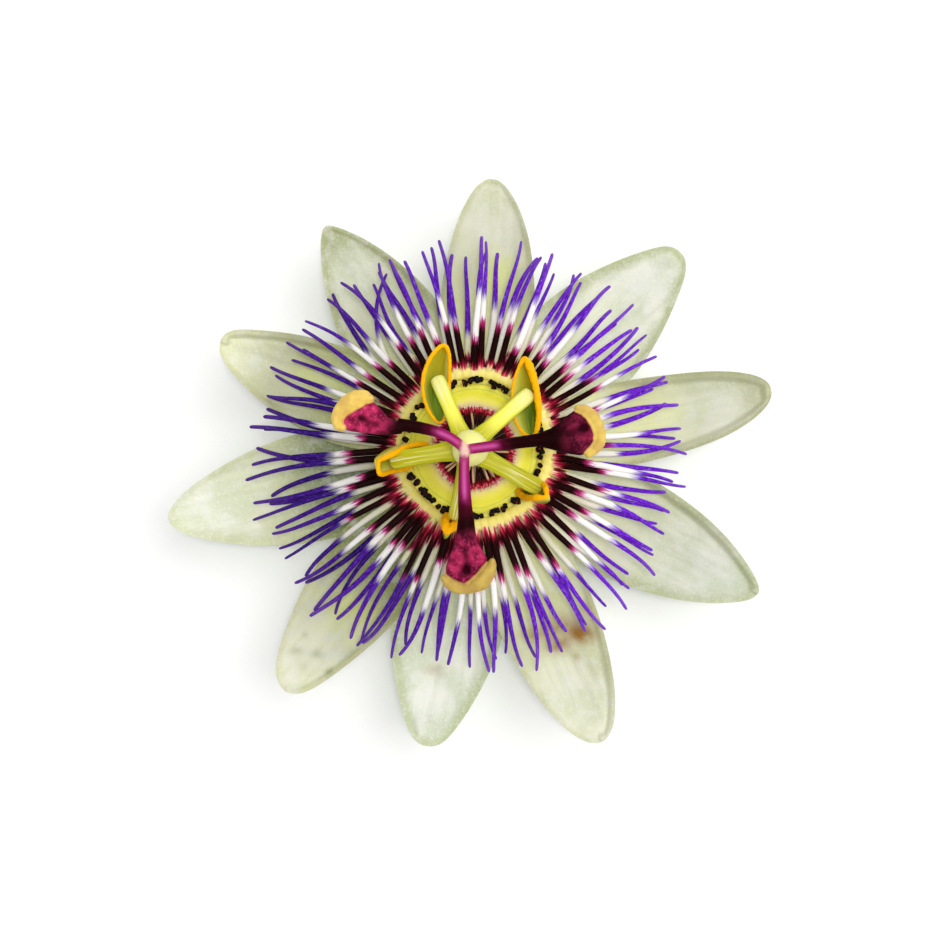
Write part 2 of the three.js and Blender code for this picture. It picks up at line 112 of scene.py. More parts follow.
SEPALS = table(
    TEPAL_COLUMNS,
    (43.3, 40.2, 8.2, 0.77, 1.7, 27, 0.2, 0.4, 0.05, 0.1, 0.3, 0.1, (1.12, 0.97, 0.90, 0.89), 0.0, 0.5),
    (123.9, 37.6, 7.4, 0.78, 1.6, 9, -0.1, 0.5, 0.2, 0.3, 0.5, 0.3, (1.0, 0.87, 0.84, 0.80), 0.25, 0.9),
    (193.0, 44.2, 7.8, 0.76, 1.9, 17, 0.0, 0.2, 0.0, 0.1, 0.0, 0.35, (0.72, 0.90, 0.925, 0.98), 1.0, 0.0),
    (261.5, 42.4, 8.2, 0.76, 1.9, 32, -0.4, 0.3, 0.0, 0.1, 0.0, 0.0, (1.0, 0.95, 0.92, 0.89), 0.45, 0.35),
    (332.9, 44.7, 7.7, 0.53, 1.7, 4, 0.0, 0.4, 0.9, 0.0, 0.4, 0.15, (1.03, 0.80, 0.76, 0.82), 0.0, 0.2),
)
# Each whorl: height of its roots, how far a blade dips, rises and cups and from where, its thickness,
# its keel underneath, and the width of its olive margin
PETAL, SEPAL = table(
    "base dip rise cup cup_from thick keel band",
    (9.9, 0.8, 1.7, 1.6, 0.35, 0.62, 0.0, 1.3),
    (8.2, 0.7, 2.4, 1.5, 0.62, 0.7, 0.45, 3.2),
)
# Marks on the tepals, each with its place, its radius, how far it stretches along X, and how strong it
# is: brown stains, grey-green smudges, and yellow-green blushes
STAINS = [
    (12.4, -25.2, 1.9, 1.7, 0.7), (15.4, -26.2, 1.3, 1.3, 0.9), (11.8, -27.8, 1.1, 1.4, 0.8),
    (14.5, -29.3, 0.6, 1.0, 0.5), (8.3, -26.2, 0.9, 1.8, 0.5), (15.8, -22.7, 1.2, 0.9, 0.4),
    (-5.6, -31.4, 0.9, 1.8, 0.35),
]
SMUDGES = [
    (-23.8, -26.2, 0.5, 0.8, 0.45), (-25.0, -28.4, 0.6, 1.8, 0.4), (-22.1, -28.9, 0.7, 1.4, 0.45),
    (-24.0, -30.4, 0.9, 1.0, 0.25), (-20.2, -31.3, 0.5, 1.3, 0.7), (-17.3, -28.6, 1.0, 1.5, 0.2),
]
BLUSHES = [
    (-17.1, -23.6, 3.4, 1.0, 1.0), (3.0, 24.4, 3.8, 0.8, 0.9), (24.0, 5.0, 3.4, 1.8, 0.6),
    (-22.5, 10.0, 3.4, 1.4, 0.7), (8.6, -24.5, 3.0, 0.9, 0.6),
]
AWN_LENGTH = 2.0
AWN_RADIUS = 0.5

# Corona: two rows of long filaments, and inside them a short row with dark heads
CORONA_COUNT = 60
CORONA_ROOT_RADIUS = 10.9
CORONA_TIP_RADIUS = 30.0
CORONA_LEAN = 1.4
CORONA_LEAN_BEARING = 235
# Near one bearing the lower filaments are swept aside, by up to SWEEP degrees
SWEEP = 17
SWEEP_BEARING = 136
SWEEP_WIDTH = 12
# Half width and half height along a filament, and the shares of them where its tip is rounded off
FILAMENT_WIDTHS = [(-0.03, 0.44), (0.12, 0.48), (0.3, 0.45), (0.5, 0.38), (0.69, 0.325), (0.84, 0.28),
                   (0.95, 0.25), (1, 0.25)]
FILAMENT_HEIGHTS = [(-0.03, 0.2), (0.06, 0.28), (0.14, 0.37), (0.3, 0.36), (0.5, 0.31), (0.69, 0.26),
                    (0.84, 0.23), (1, 0.19)]
FILAMENT_TIP = {0.98: 0.96, 0.988: 0.88, 0.994: 0.72, 0.998: 0.45, 1.0: 0.1}
# The bands of colour lie a little off the axis: distance from the axis, and how far they are moved
# there along X and Y. The flower gets painted shade on the side of one bearing
BAND_MOVES = [(11.0, 0.0, -0.1), (12.5, 0.0, -0.35), (15.5, -0.4, -1.15), (20.0, 0.1, -1.2)]
DUSK_BEARING = 187
UPPER_BANDS = [
    (9.8, (0.94, 0.80, 0.18)), (10.6, (0.94, 0.84, 0.26)), (11.1, (0.94, 0.76, 0.44)),
    (11.45, (0.80, 0.13, 0.18)), (11.9, (0.44, 0.010, 0.052)), (12.35, (0.14, 0.005, 0.014)),
    (12.75, (0.014, 0.002, 0.002)), (16.4, (0.012, 0.0015, 0.002)), (16.8, (0.16, 0.004, 0.035)),
    (17.3, (0.44, 0.025, 0.16)), (17.7, (0.66, 0.28, 0.52)), (18.2, (0.90, 0.86, 0.84)),
    (20.6, (0.93, 0.91, 0.88)),
]
LOWER_BANDS = [
    (9.8, (0.92, 0.84, 0.22)), (11.0, (0.94, 0.86, 0.36)), (11.6, (0.90, 0.62, 0.44)),
    (12.0, (0.42, 0.03, 0.05)), (12.5, (0.05, 0.003, 0.006)), (12.9, (0.14, 0.005, 0.02)),
    (13.3, (0.48, 0.04, 0.12)), (13.8, (0.94, 0.88, 0.60)), (16.0, (0.95, 0.92, 0.68)),
    (19.0, (0.94, 0.92, 0.82)),
]
# Each row: its seed, how far round it is turned, the heights of its roots and tips and how it lifts
# between them, how short it is, how far its membrane reaches out, its bands, and where violet starts
CORONA_ROWS = table(
    "name seed offset root lift tip short sheet bands violet",
    ("upper", 71, 0.15, 12.9, 1.9, 14.9, 0.0, 0.0, UPPER_BANDS, 20.0),
    ("lower", 29, 0.6, 11.25, 0.9, 12.4, 1.0, 2.4, LOWER_BANDS, 18.4),
)
HEAD_COUNT = 96
HEAD_RING_RADIUS = 9.35
HEAD_RADIUS = 0.37
HEAD_Z = 14.3
HEAD_CLEARANCE = 0.6
HEAD_SEED = 53
HEAD_GAP_EVERY = 6
STALK_RADIUS = 0.16

# Nectar disc and the fringe inside it. The rings sit a little off the axis: X, Y and how much narrower
# they are along X, inside and outside
RING_INSIDE = (0.0, 0.15, 0.99)
RING_OUTSIDE = (-0.1, 0.06, 1.0)
RING_INSIDE_RADIUS = 6.0
RING_OUTSIDE_RADIUS = 9.0
DISC_RADIUS = 9.2
DISC_BOTTOM_Z = 10.2
FRINGE_RADIUS = 5.7
FRINGE_COUNT = 104
FRINGE_INNER_RADIUS = 2.25
FRINGE_SEED = 17
FRINGE_TAN_FROM = 0.77
FUZZ_COUNT = 170

# Column with the five stamen arms, and the anthers at their ends
COLUMN_LEAN_X = -0.95
COLUMN_RADIUS = 1.25
COLUMN_BOTTOM_Z = 11.25
COLUMN_TOP_Z = 21.0
COLUMN_RIDGES = 5
ARM_Z = 20.5
ARM_HALF_THICKNESS = 0.5
ARM_ARCH = 0.5
ARM_DROOP = 0.9
ARM_TIP = {0.972: 0.95, 0.983: 0.86, 0.991: 0.7, 0.997: 0.45, 1.0: 0.12}
ANTHER_LENGTH = 10.4
ANTHER_THICKNESS = 0.75
ANTHER_DEPTH = 1.5
ANTHER_SHEER = 0.9
ANTHER_DROP = 0.9
# Bearing and reach of each arm, and its half width. Then the bearing of its anther, how steeply the
# anther's outer end is tipped up, its roll, its sideways bow, the place along it where the arm holds
# it, its half width, how blunt its ends are, and the radius of the pollen round its edge. shift is how
# far the anther is off the arm's end along X and Y, and pale how pale the arm's outer half is, partly
# its own colour and partly painted highlight. skew moves the widest place to the inner end, and shear
# moves the two edges along the anther, one outwards and the other inwards. rims is how thick the pollen
# is at both ends of the two edges
EVEN_RIMS = ((1.0, 1.0), (1.0, 1.0))
STAMENS = table(
    "bearing reach arm anther tipped roll bow held half blunt pollen shift pale skew shear rims",
    (41.0, 11.5, 1.05, 95, 0, -16, 0.3, 0.43, 1.75, 2.3, 0.32, (-0.85, -0.05), 1.0, 1.3, 0.0,
     ((0.75, 0.5), (1.75, 1.1))),
    (113.3, 10.5, 1.0, 87, 4, 18, 0.9, 0.44, 1.85, 2.0, 0.28, (-0.15, -0.35), 0.85, 1.0, 0.0,
     ((1.1, 0.65), (1.05, 0.55))),
    (189.5, 10.5, 1.15, 195, 60, -44, 0, 0.27, 1.9, 4.5, 0.36, (0, 0.35), 0.0, 1.0, 1.2, EVEN_RIMS),
    (259.3, 9.8, 0.78, 252, 83, 0, 0, 0.34, 0.72, 3.0, 0.56, (-0.7, -1.1), 0.1, 1.0, 0.0, EVEN_RIMS),
    (331.0, 11.4, 1.1, 341, 75, -27, 0, 0.26, 1.32, 3.6, 0.42, (-0.15, -0.75), 0.0, 1.0, 0.0, EVEN_RIMS),
)

# Ovary and the three styles with their stigmas
OVARY_BOTTOM_Z = 21.3
OVARY_TOP_Z = 27.4
OVARY_RADIUS = 2.42
OVARY_X = -0.55
OVARY_Y = -0.1
STYLE_ROOT = Vector((-1.25, -0.3, 28.15))
STYLE_RISE = 1.6
STYLE_ROOT_RADIUS = 0.65
STYLE_JOINT_RADIUS = 0.74
STYLE_SKIN_CELL = 0.1
# Length of the magenta stretch that the colours of the stalk are set for
MAGENTA_LENGTH = 4.4
EDGE_BALLS = 30
EDGE_HALF_HEIGHT = 0.75
# Each style: its bearing, reach and bow, and its radius where the stigma starts. Then the stigma in
# millimetres along the style and to its left: the pit in it, the start of its groove, and where the dark
# stalk turns to velvet and over what length. dusk is how much painted shade darkens the velvet, and below
# 0 how much painted light brightens it, magenta how far the stalk is magenta, hole how deep the pit is
# and glow how bright the ochre edge is painted, a painted light level. The fan of velvet is given
# as (along, right edge, left edge), and the ochre edge as (along, side, radius)
STYLES = table(
    "bearing reach bow radius pit groove velvet dusk magenta hole glow fan edge",
    (7.4, 18.2, 0.0, 0.86, (15.6, 0.8), (12.5, 0.1), (11.4, 3.4), 0.6, 4.4, 0.8, 0.74,
     [(9.6, -0.9, 0.9), (11.0, -1.45, 1.2), (12.4, -2.0, 1.8), (13.5, -2.4, 2.6), (14.6, -2.7, 3.2),
      (15.6, -2.5, 3.0), (16.5, -1.6, 1.9), (17.0, -0.8, 0.9)],
     [(15.0, 3.4, 0.45), (15.9, 3.1, 0.68), (16.8, 2.2, 0.8), (17.3, 1.1, 0.76), (17.5, -0.2, 0.76),
      (17.3, -1.4, 0.74), (16.5, -2.2, 0.64), (15.6, -2.7, 0.45)]),
    (163.4, 17.7, -1.15, 0.82, (13.9, 0.0), (10.8, 0.4), (8.8, 4.0), -0.4, 4.4, 0.3, 0.85,
     [(8.3, -0.9, 0.4), (9.6, -1.0, 0.95), (10.6, -1.2, 1.25), (11.9, -2.0, 1.5), (12.8, -2.5, 1.65),
      (13.6, -2.4, 1.8), (14.6, -1.6, 1.95), (15.4, -0.7, 2.0), (16.1, 0.4, 1.8)],
     [(13.3, -2.8, 0.42), (14.3, -2.8, 0.9), (15.2, -2.2, 1.2), (16.1, -1.3, 1.15), (16.7, -0.2, 0.95),
      (16.9, 0.8, 0.78), (16.5, 1.7, 0.62), (15.9, 1.9, 0.45)]),
    (271.7, 18.6, -0.2, 0.95, (15.5, -0.2), (11.6, -0.3), (9.7, 3.0), -0.05, 6.4, 0.7, 0.58,
     [(8.0, -1.0, 0.9), (10.3, -1.35, 1.05), (11.9, -1.65, 1.3), (13.0, -2.1, 1.9), (14.0, -2.6, 2.5),
      (15.0, -2.9, 2.2), (15.8, -2.9, 1.5), (16.6, -2.3, 0.6), (17.3, -1.3, 0.0)],
     [(16.3, -3.2, 0.42), (17.1, -2.6, 0.68), (17.7, -1.6, 0.76), (18.0, -0.5, 0.62), (17.6, 0.6, 0.86),
      (17.0, 1.7, 1.12), (15.9, 2.5, 1.0), (14.9, 3.0, 0.65), (14.4, 3.1, 0.42)]),
)


def draws(seed):
    """Seeded random numbers from 0 to 1, the same on every run."""
    state = seed
    for _ in range(5):
        state = state * 48271 % 2147483647
    while True:
        state = state * 48271 % 2147483647
        yield state / 2147483647


def spread(draw, width):
    """A random number between plus and minus half the width."""
    return width * (next(draw) - 0.5)


def smooth(value):
    t = min(max(value, 0.0), 1.0)
    return t * t * (3 - 2 * t)


def bell(value):
    return math.exp(-value ** 2)


def wave(angle):
    return math.cos(math.radians(angle))


def between(stops, at, column=1):
    """The value at a place along a list of stops, in a straight line from one stop to the next. Each stop
    is its place and then one value or more."""
    if at <= stops[0][0]:
        return stops[0][column]
    for low, high in zip(stops, stops[1:]):
        if at <= high[0]:
            return low[column] + (high[column] - low[column]) * (at - low[0]) / (high[0] - low[0])
    return stops[-1][column]


def polar(radius, bearing, z=0.0):
    angle = math.radians(bearing)
    return Vector((radius * math.cos(angle), radius * math.sin(angle), z))


def turned(bearing):
    return Matrix.Rotation(math.radians(bearing), 3, "Z")


def steps(count, low=0.0, high=1.0):
    return [low + (high - low) * i / (count - 1) for i in range(count)]


def turns(count):
    """Even bearings all the way round."""
    return [j * 360 / count for j in range(count)]


def circle(sides):
    """Cosine and sine of even angles all the way round."""
    angles = [j / sides * math.tau for j in range(sides)]
    return [(math.cos(angle), math.sin(angle)) for angle in angles]


def crosswise(count):
    """Places across a blade from -1 to 1, closer together at its edges."""
    return [math.sin(w * math.pi / 2) for w in steps(count, -1, 1)]


def lengthwise(count, crowding):
    """Places along a blade from 0 to just short of 1, closer together towards its tip."""
    return [1 - (1 - t) ** crowding for t in steps(count)][:-1]


def wrapped(top, bottom, edges):
    """One row round a blade: over the top, and back underneath, with its two edges or without."""
    return top + (bottom[::-1] if edges else bottom[-2:0:-1])


def grain(x, y, z=0.0):
    return noise.noise(Vector((x, y, z)))


def ripple(point, size, seed):
    """Smooth noise from about -1 to 1, with features of that size in millimetres."""
    return noise.noise(point / size + Vector((seed * 7.3, seed * 3.1, seed * 5.7)))


class Shape:
    """Points, faces, and named values at each point, of one piece. Where a method takes values, they are
    a dictionary, or a function that gives one for ring i and point j of it. What isn't named is 0."""

    def __init__(self, *names):
        self.points = []
        self.faces = []
        self.values = {name: [] for name in names}

    def add(self, point, values, i, j):
        self.points.append(point)
        named = values(i, j) if callable(values) else values
        for name, column in self.values.items():
            column.append(named.get(name, 0.0))
        return len(self.points) - 1

    def loft(self, rings, values, hoop=False):
        """A closed skin over a row of rings of points, or round a hoop of them, the last joined to the
        first."""
        sides = len(rings[0])
        start = len(self.points)
        for i, ring in enumerate(rings):
            for j, point in enumerate(ring):
                self.add(point, values, i, j)
        for i in range(len(rings) if hoop else len(rings) - 1):
            a = start + i * sides
            b = start + (i + 1) % len(rings) * sides
            for j in range(sides):
                k = (j + 1) % sides
                self.faces.append((a + j, a + k, b + k, b + j))
        if hoop:
            return
        for i in (0, len(rings) - 1):
            hub = self.add(sum(rings[i], Vector()) / sides, values, i, 0)
            a = start + i * sides
            for j in range(sides):
                self.faces.append((hub, a + j, a + (j + 1) % sides))

    def blade(self, lengths, across, at, edges=False):
        """A closed blade over places along it and across it. at(s, u) gives the points on top and
        underneath there, and the values of both. Its margins have a thickness if edges is true."""
        rings = []
        values = []
        for s in lengths:
            top, bottom, upper, lower = zip(*(at(s, u) for u in across))
            rings.append(wrapped(top, bottom, edges))
            values.append(wrapped(upper, lower, edges))
        self.loft(rings, lambda i, j: values[i][j])

    def strand(self, path, widths, heights, sides, values, twists=None):
        """A strand along a path, oval across: half widths sideways and half heights upwards."""
        rings = []
        for i, point in enumerate(path):
            along = (path[min(i + 1, len(path) - 1)] - path[max(i - 1, 0)]).normalized()
            across = Vector((-along.y, along.x, 0)).normalized()
            up = along.cross(across)
            if twists:
                turn = Matrix.Rotation(twists[i], 3, along)
                across = turn @ across
                up = turn @ up
            wide = widths[i]
            high = heights[i]
            rings.append([point + across * (c * wide) + up * (s * high) for c, s in circle(sides)])
        self.loft(rings, values)

    def ball(self, centre, radii, turn, values, rows=8, sides=12, lumps=0.0, seed=0, square=1.0):
        """A closed ball with its three radii along the axes of turn, and lumps as a share of them. It is
        round where square is 1 and boxier below that."""
        rings = []
        for i in range(1, rows):
            tilt = math.pi * i / rows
            flat = math.sin(tilt)
            ring = []
            for c, s in circle(sides):
                way = Vector((flat * c, flat * s, math.cos(tilt)))
                size = 1 + lumps * noise.noise(way * 1.6 + Vector((seed * 3.7, seed, 0)))
                boxed = [math.copysign(abs(part) ** square, part) * r for part, r in zip(way, radii)]
                ring.append(centre + turn @ Vector(boxed) * size)
            rings.append(ring)
        self.loft(rings, values)


def mesh_of(name, shape):
    places = [((p.x + AXIS_X) * MM, (p.y + AXIS_Y) * MM, p.z * MM) for p in shape.points]
    mesh = bpy.data.meshes.new(name)
    mesh.from_pydata(places, [], shape.faces)
    add_values(mesh, shape.values)
    sheet = bmesh.new()
    sheet.from_mesh(mesh)
    bmesh.ops.recalc_face_normals(sheet, faces=sheet.faces)
    sheet.to_mesh(mesh)
    sheet.free()
    mesh.shade_smooth()
    return mesh


def add_values(mesh, columns):
    for name, column in columns.items():
        mesh.attributes.new(name, "FLOAT", "POINT").data.foreach_set("value", column)


def link(name, data):
    made = bpy.data.objects.new(name, data)
    bpy.context.scene.collection.objects.link(made)
    return made


def piece(name, skin, look, slot, *nodes):
    """Puts a shape, or a mesh that is ready, in the scene as a piece that stands for the nodes."""
    made = link(name, mesh_of(name, skin) if isinstance(skin, Shape) else skin)
    made.data.materials.append(look.material)
    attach(made, "root")
    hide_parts(*nodes)
    return made


class Look:
    """A material and its nodes. A value is a number, a colour, or another node's output. glow is how much
    light goes through, how far in millimetres it spreads, and its colour."""

    def __init__(self, name, roughness, gloss=0.5, glow=None):
        self.material = bpy.data.materials.new(name)
        self.material.use_nodes = True
        self.tree = self.material.node_tree
        self.shader = self.tree.nodes["Principled BSDF"]
        fixed = {"Roughness": roughness, "Specular IOR Level": gloss}
        if glow:
            weight, spread_by, colour = glow
            fixed.update({"Subsurface Weight": weight, "Subsurface Scale": spread_by * MM,
                          "Subsurface Radius": colour})
        for socket, value in fixed.items():
            self.shader.inputs[socket].default_value = value

    def feed(self, socket, value):
        if isinstance(value, bpy.types.NodeSocket):
            self.tree.links.new(value, socket)
        elif isinstance(value, tuple) and socket.type == "RGBA":
            socket.default_value = (*value, 1.0)
        else:
            socket.default_value = value

    def node(self, kind, *values, **named):
        """A new node with its first inputs fed, and others by their names."""
        node = self.tree.nodes.new("ShaderNode" + kind)
        for socket, value in zip(node.inputs, values):
            self.feed(socket, value)
        for name, value in named.items():
            self.feed(node.inputs[name], value)
        return node

    def values(self, *names):
        """The values that a mesh holds by these names."""
        outputs = []
        for name in names:
            node = self.node("Attribute")
            node.attribute_name = name
            outputs.append(node.outputs["Fac"])
        return outputs

    def place(self):
        return self.node("TexCoord").outputs["Object"]

    def noise(self, vector, scale, detail=2.0, rough=0.5):
        return self.node("TexNoise", vector, Scale=scale, Detail=detail, Roughness=rough).outputs["Fac"]

    def streaks(self, parts, scale, detail=2.0, rough=0.5):
        """Noise over three values, each with the factor that it is taken by."""
        stretched = [self.times(value, factor) for value, factor in parts]
        return self.noise(self.node("CombineXYZ", *stretched).outputs[0], scale, detail, rough)

    def cells(self, vector, scale):
        return self.node("TexVoronoi", vector, Scale=scale).outputs["Distance"]

    def math(self, operation, *values):
        node = self.node("Math", *values)
        node.operation = operation
        return node.outputs[0]

    def times(self, first, second):
        return self.math("MULTIPLY", first, second)

    def plus(self, first, second):
        return self.math("ADD", first, second)

    def size(self, value):
        return self.math("ABSOLUTE", value)

    def wander(self, value, random, width):
        """A value moved by up to half the width either way, as the random value says."""
        return self.plus(value, self.math("MULTIPLY_ADD", random, width, -width / 2))

    def fade(self, value, low, high, end=1.0, start=0.0):
        """Eased from start to end as the value goes from low to high."""
        node = self.node("MapRange", value, low, high, start, end)
        node.interpolation_type = "SMOOTHSTEP"
        return node.outputs[0]

    def mix(self, factor, first, second, kind="MIX"):
        node = self.node("Mix")
        node.data_type = "RGBA"
        node.blend_type = kind
        for number, value in ((0, factor), (6, first), (7, second)):
            self.feed(node.inputs[number], value)
        return node.outputs[2]

    def tint(self, first, second):
        return self.mix(1.0, first, second, "MULTIPLY")

    def ramp(self, value, low, high, stops):
        """Colours at places from low to high along a value."""
        share = self.math("DIVIDE", self.math("SUBTRACT", value, low), high - low)
        node = self.node("ValToRGB", share)
        marks = node.color_ramp.elements
        while len(marks) < len(stops):
            marks.new(0.5)
        for mark, (at, colour) in zip(marks, stops):
            mark.position = (at - low) / (high - low)
            mark.color = (*colour, 1.0)
        return node.outputs["Color"]

    def colour(self, value):
        self.feed(self.shader.inputs["Base Color"], value)

    def bump(self, height, depth, strength=1.0):
        """Fine relief of that depth in millimetres."""
        node = self.node("Bump", Strength=strength, Distance=depth * MM, Height=height)
        self.feed(self.shader.inputs["Normal"], node.outputs[0])


def tepal_look(name, back):
    """Waxy white-green above, with olive margins and a fine grain, painted light and shade on the inner
    part near the corona, and painted shade in the crease of a folded margin. back is the colour
    underneath.
    """
    look = Look(name, 0.5, 0.3, (0.25, 0.8, (1.0, 1.0, 0.55)))
    along, across, reach, chance = look.values("along", "across", "reach", "chance")
    warm, dusk, blush, olive = look.values("warm", "dusk", "blush", "olive")
    crease, stain, tone, top = look.values("crease", "stain", "tone", "top")
    place = look.place()
    cloud = look.noise(place, 130.0, 3.0)
    blotch = look.noise(place, 420.0, 3.0, 0.6)
    fine = look.noise(place, 2700.0, 3.0, 0.65)
    streak = look.streaks([(reach, 0.12), (across, 1.1), (chance, 1.0)], 1.0, 3.0)
    body = look.mix(warm, (0.64, 0.69, 0.56), (0.68, 0.69, 0.44))
    light = look.mix(warm, (0.81, 0.82, 0.75), (0.80, 0.80, 0.62))
    lit = look.mix(look.fade(cloud, 0.38, 0.6), body, light)
    green = look.times(look.fade(along, 0.86, 0.3), look.math("MULTIPLY_ADD", warm, 0.6, 0.35))
    # Yellow-green near the corona; where dusk is high it turns dark olive and darker still, painted shade
    # on the flower's shaded side
    deep = look.mix(green, lit, look.mix(dusk, (0.91, 0.94, 0.40), (0.28, 0.33, 0.08)))
    inner = look.mix(dusk, deep, look.tint(deep, (0.60, 0.66, 0.45)))
    blushed = look.mix(look.fade(blush, 0.0, 1.0, 0.9), inner, (0.94, 1.0, 0.34))
    veined = look.mix(look.fade(streak, 0.5, 0.68, 0.2), blushed, (0.54, 0.60, 0.36))
    margin = look.fade(look.wander(olive, blotch, 0.9), 0.05, 0.95, 0.85)
    rim = look.mix(margin, veined, look.mix(warm, (0.40, 0.46, 0.22), (0.52, 0.50, 0.25)))
    patched = look.mix(look.fade(blotch, 0.5, 0.66, 0.4), rim, (0.82, 0.84, 0.78))
    speckled = look.mix(look.fade(fine, 0.46, 0.72, 0.35), patched, (0.90, 0.91, 0.87))
    # Painted shade in the crease of a folded margin, with the grey-green smudges, which are marks
    crease_shade_and_smudges = look.times(crease, look.fade(blotch, 0.3, 0.6, 0.8, 0.4))
    creased = look.mix(crease_shade_and_smudges, speckled, (0.33, 0.36, 0.16))
    marks = look.times(stain, look.fade(blotch, 0.3, 0.6, 1.0, 0.55))
    # tone also paints light and shade on the inner part near the corona
    toned = look.tint(look.mix(marks, creased, (0.36, 0.17, 0.02)), tone)
    sides = look.fade(look.size(across), 1.5, 7.0, 0.75)
    under = look.mix(look.plus(sides, look.fade(blotch, 0.35, 0.7, 0.15)), back, (0.60, 0.67, 0.42))
    under = look.mix(look.fade(streak, 0.45, 0.66, 0.3), under, (0.30, 0.40, 0.16))
    look.colour(look.mix(top, under, toned))
    look.bump(look.plus(fine, look.times(blotch, 1.5)), 0.08, 0.7)
    return look


def filament_look(name, inner, violet_from):
    """Bands by distance from the axis, ragged where they meet, then violet with pale frosting. The
    bands and the violet get painted shade, darker where dusk is 1."""
    look = Look(name, 0.5, 0.04, (0.06, 0.3, (0.6, 0.4, 0.7)))
    reach, chance, side, dusk, late = look.values("reach", "chance", "side", "dusk", "late")
    streaks = look.streaks([(side, 2.6), (reach, 0.55), (chance, 90.0)], 1.0, 3.0, 0.6)
    ragged = look.wander(reach, streaks, 3.2)
    jitter = look.fade(reach, 12.6, 15.6, 1.0, 0.26)
    moved = look.plus(ragged, look.times(look.math("MULTIPLY_ADD", chance, 4.6, -2.3), jitter))
    # Painted shade: the bands darker where dusk is high
    shade = look.math("MULTIPLY_ADD", dusk, -0.28, 1.0)
    banded = look.tint(look.ramp(moved, 8.0, 34.0, inner), shade)
    frost = look.streaks([(side, 1.6), (reach, 1.1), (chance, 57.0)], 1.6, 3.0, 0.65)
    # The violet is darker where dusk is high, painted shade
    deep = look.mix(dusk, (0.07, 0.003, 0.36), (0.010, 0.002, 0.055))
    middle = look.mix(dusk, (0.17, 0.016, 0.62), (0.034, 0.007, 0.17))
    light = look.mix(dusk, (0.42, 0.22, 0.86), (0.16, 0.07, 0.40))
    violet = look.mix(look.fade(frost, 0.34, 0.54), deep, middle)
    frosted = look.mix(look.fade(frost, 0.54, 0.74, 0.75), violet, light)
    dim = look.mix(dusk, (0.24, 0.11, 0.44), (0.10, 0.04, 0.24))
    faded = look.mix(look.fade(reach, 24.5, 30.5, 0.5), frosted, dim)
    start = look.fade(look.wander(ragged, late, 4.6), violet_from, violet_from + 1.9)
    look.colour(look.mix(start, banded, faded))
    look.bump(look.noise(look.place(), 3500.0, 2.0), 0.04, 0.5)
    return look


def heads_look():
    look = Look("dark_heads", 0.5, 0.06)
    red = look.fade(look.noise(look.place(), 2600.0, 1.0), 0.66, 0.74, 0.8)
    dark = look.mix(red, (0.008, 0.004, 0.004), (0.4, 0.03, 0.008))
    look.colour(look.mix(*look.values("top"), (0.80, 0.74, 0.16), dark))
    look.bump(look.noise(look.place(), 4000.0, 2.0), 0.05, 0.6)
    return look


def disc_look():
    """Cream at the inner edge, bright yellow, a thin green line of painted shade in a small groove, and
    pale yellow outside, with painted shade on the flower's shaded side.
    """
    look = Look("nectar_disc", 0.4, 0.15, (0.2, 0.6, (1.0, 0.9, 0.3)))
    reach, turn, dusk = look.values("reach", "turn", "dusk")
    banded = look.ramp(look.wander(reach, look.noise(look.place(), 400.0, 3.0), 0.7), 4.0, 12.0, [
        (5.4, (0.66, 0.46, 0.32)), (5.8, (0.95, 0.80, 0.48)), (6.4, (0.98, 0.88, 0.34)),
        (6.9, (0.96, 0.88, 0.12)), (7.4, (0.93, 0.88, 0.05)), (8.1, (0.94, 0.90, 0.06)),
        # At 8.3 mm a thin green line, painted shade in the small groove of the disc
        (8.3, (0.74, 0.76, 0.05)), (8.45, (0.96, 0.92, 0.10)), (9.2, (0.97, 0.92, 0.16)),
        (10.2, (0.94, 0.86, 0.20)),
    ])
    rays = look.streaks([(turn, 1.0), (reach, 0.3), (0.0, 1.0)], 14.0, 2.0)
    # Painted shade on the flower's shaded side, where dusk is high
    toned = look.mix(dusk, banded, look.tint(banded, (0.70, 0.68, 0.46)))
    look.colour(look.mix(look.fade(rays, 0.5, 0.75, 0.2), toned, (0.76, 0.76, 0.08)))
    look.bump(rays, 0.05, 0.5)
    return look


def fringe_look():
    """Dark red strands with a pinkish white fuzz at the outer edge, some of them tan."""
    look = Look("operculum_fringe", 0.45, 0.08)
    reach, chance = look.values("reach", "chance")
    dark = look.ramp(look.wander(reach, look.noise(look.place(), 2500.0, 2.0), 1.2), 0.0, 8.0, [
        (1.5, (0.014, 0.003, 0.002)), (4.5, (0.022, 0.003, 0.003)), (4.95, (0.16, 0.005, 0.010)),
        (5.3, (0.62, 0.02, 0.06)), (5.6, (0.86, 0.32, 0.32)), (5.95, (0.97, 0.88, 0.76)),
    ])
    tan = look.times(look.fade(chance, 0.74, 0.8, 0.9), look.fade(reach, 5.1, 4.6))
    look.colour(look.mix(tan, dark, (0.84, 0.50, 0.28)))
    return look


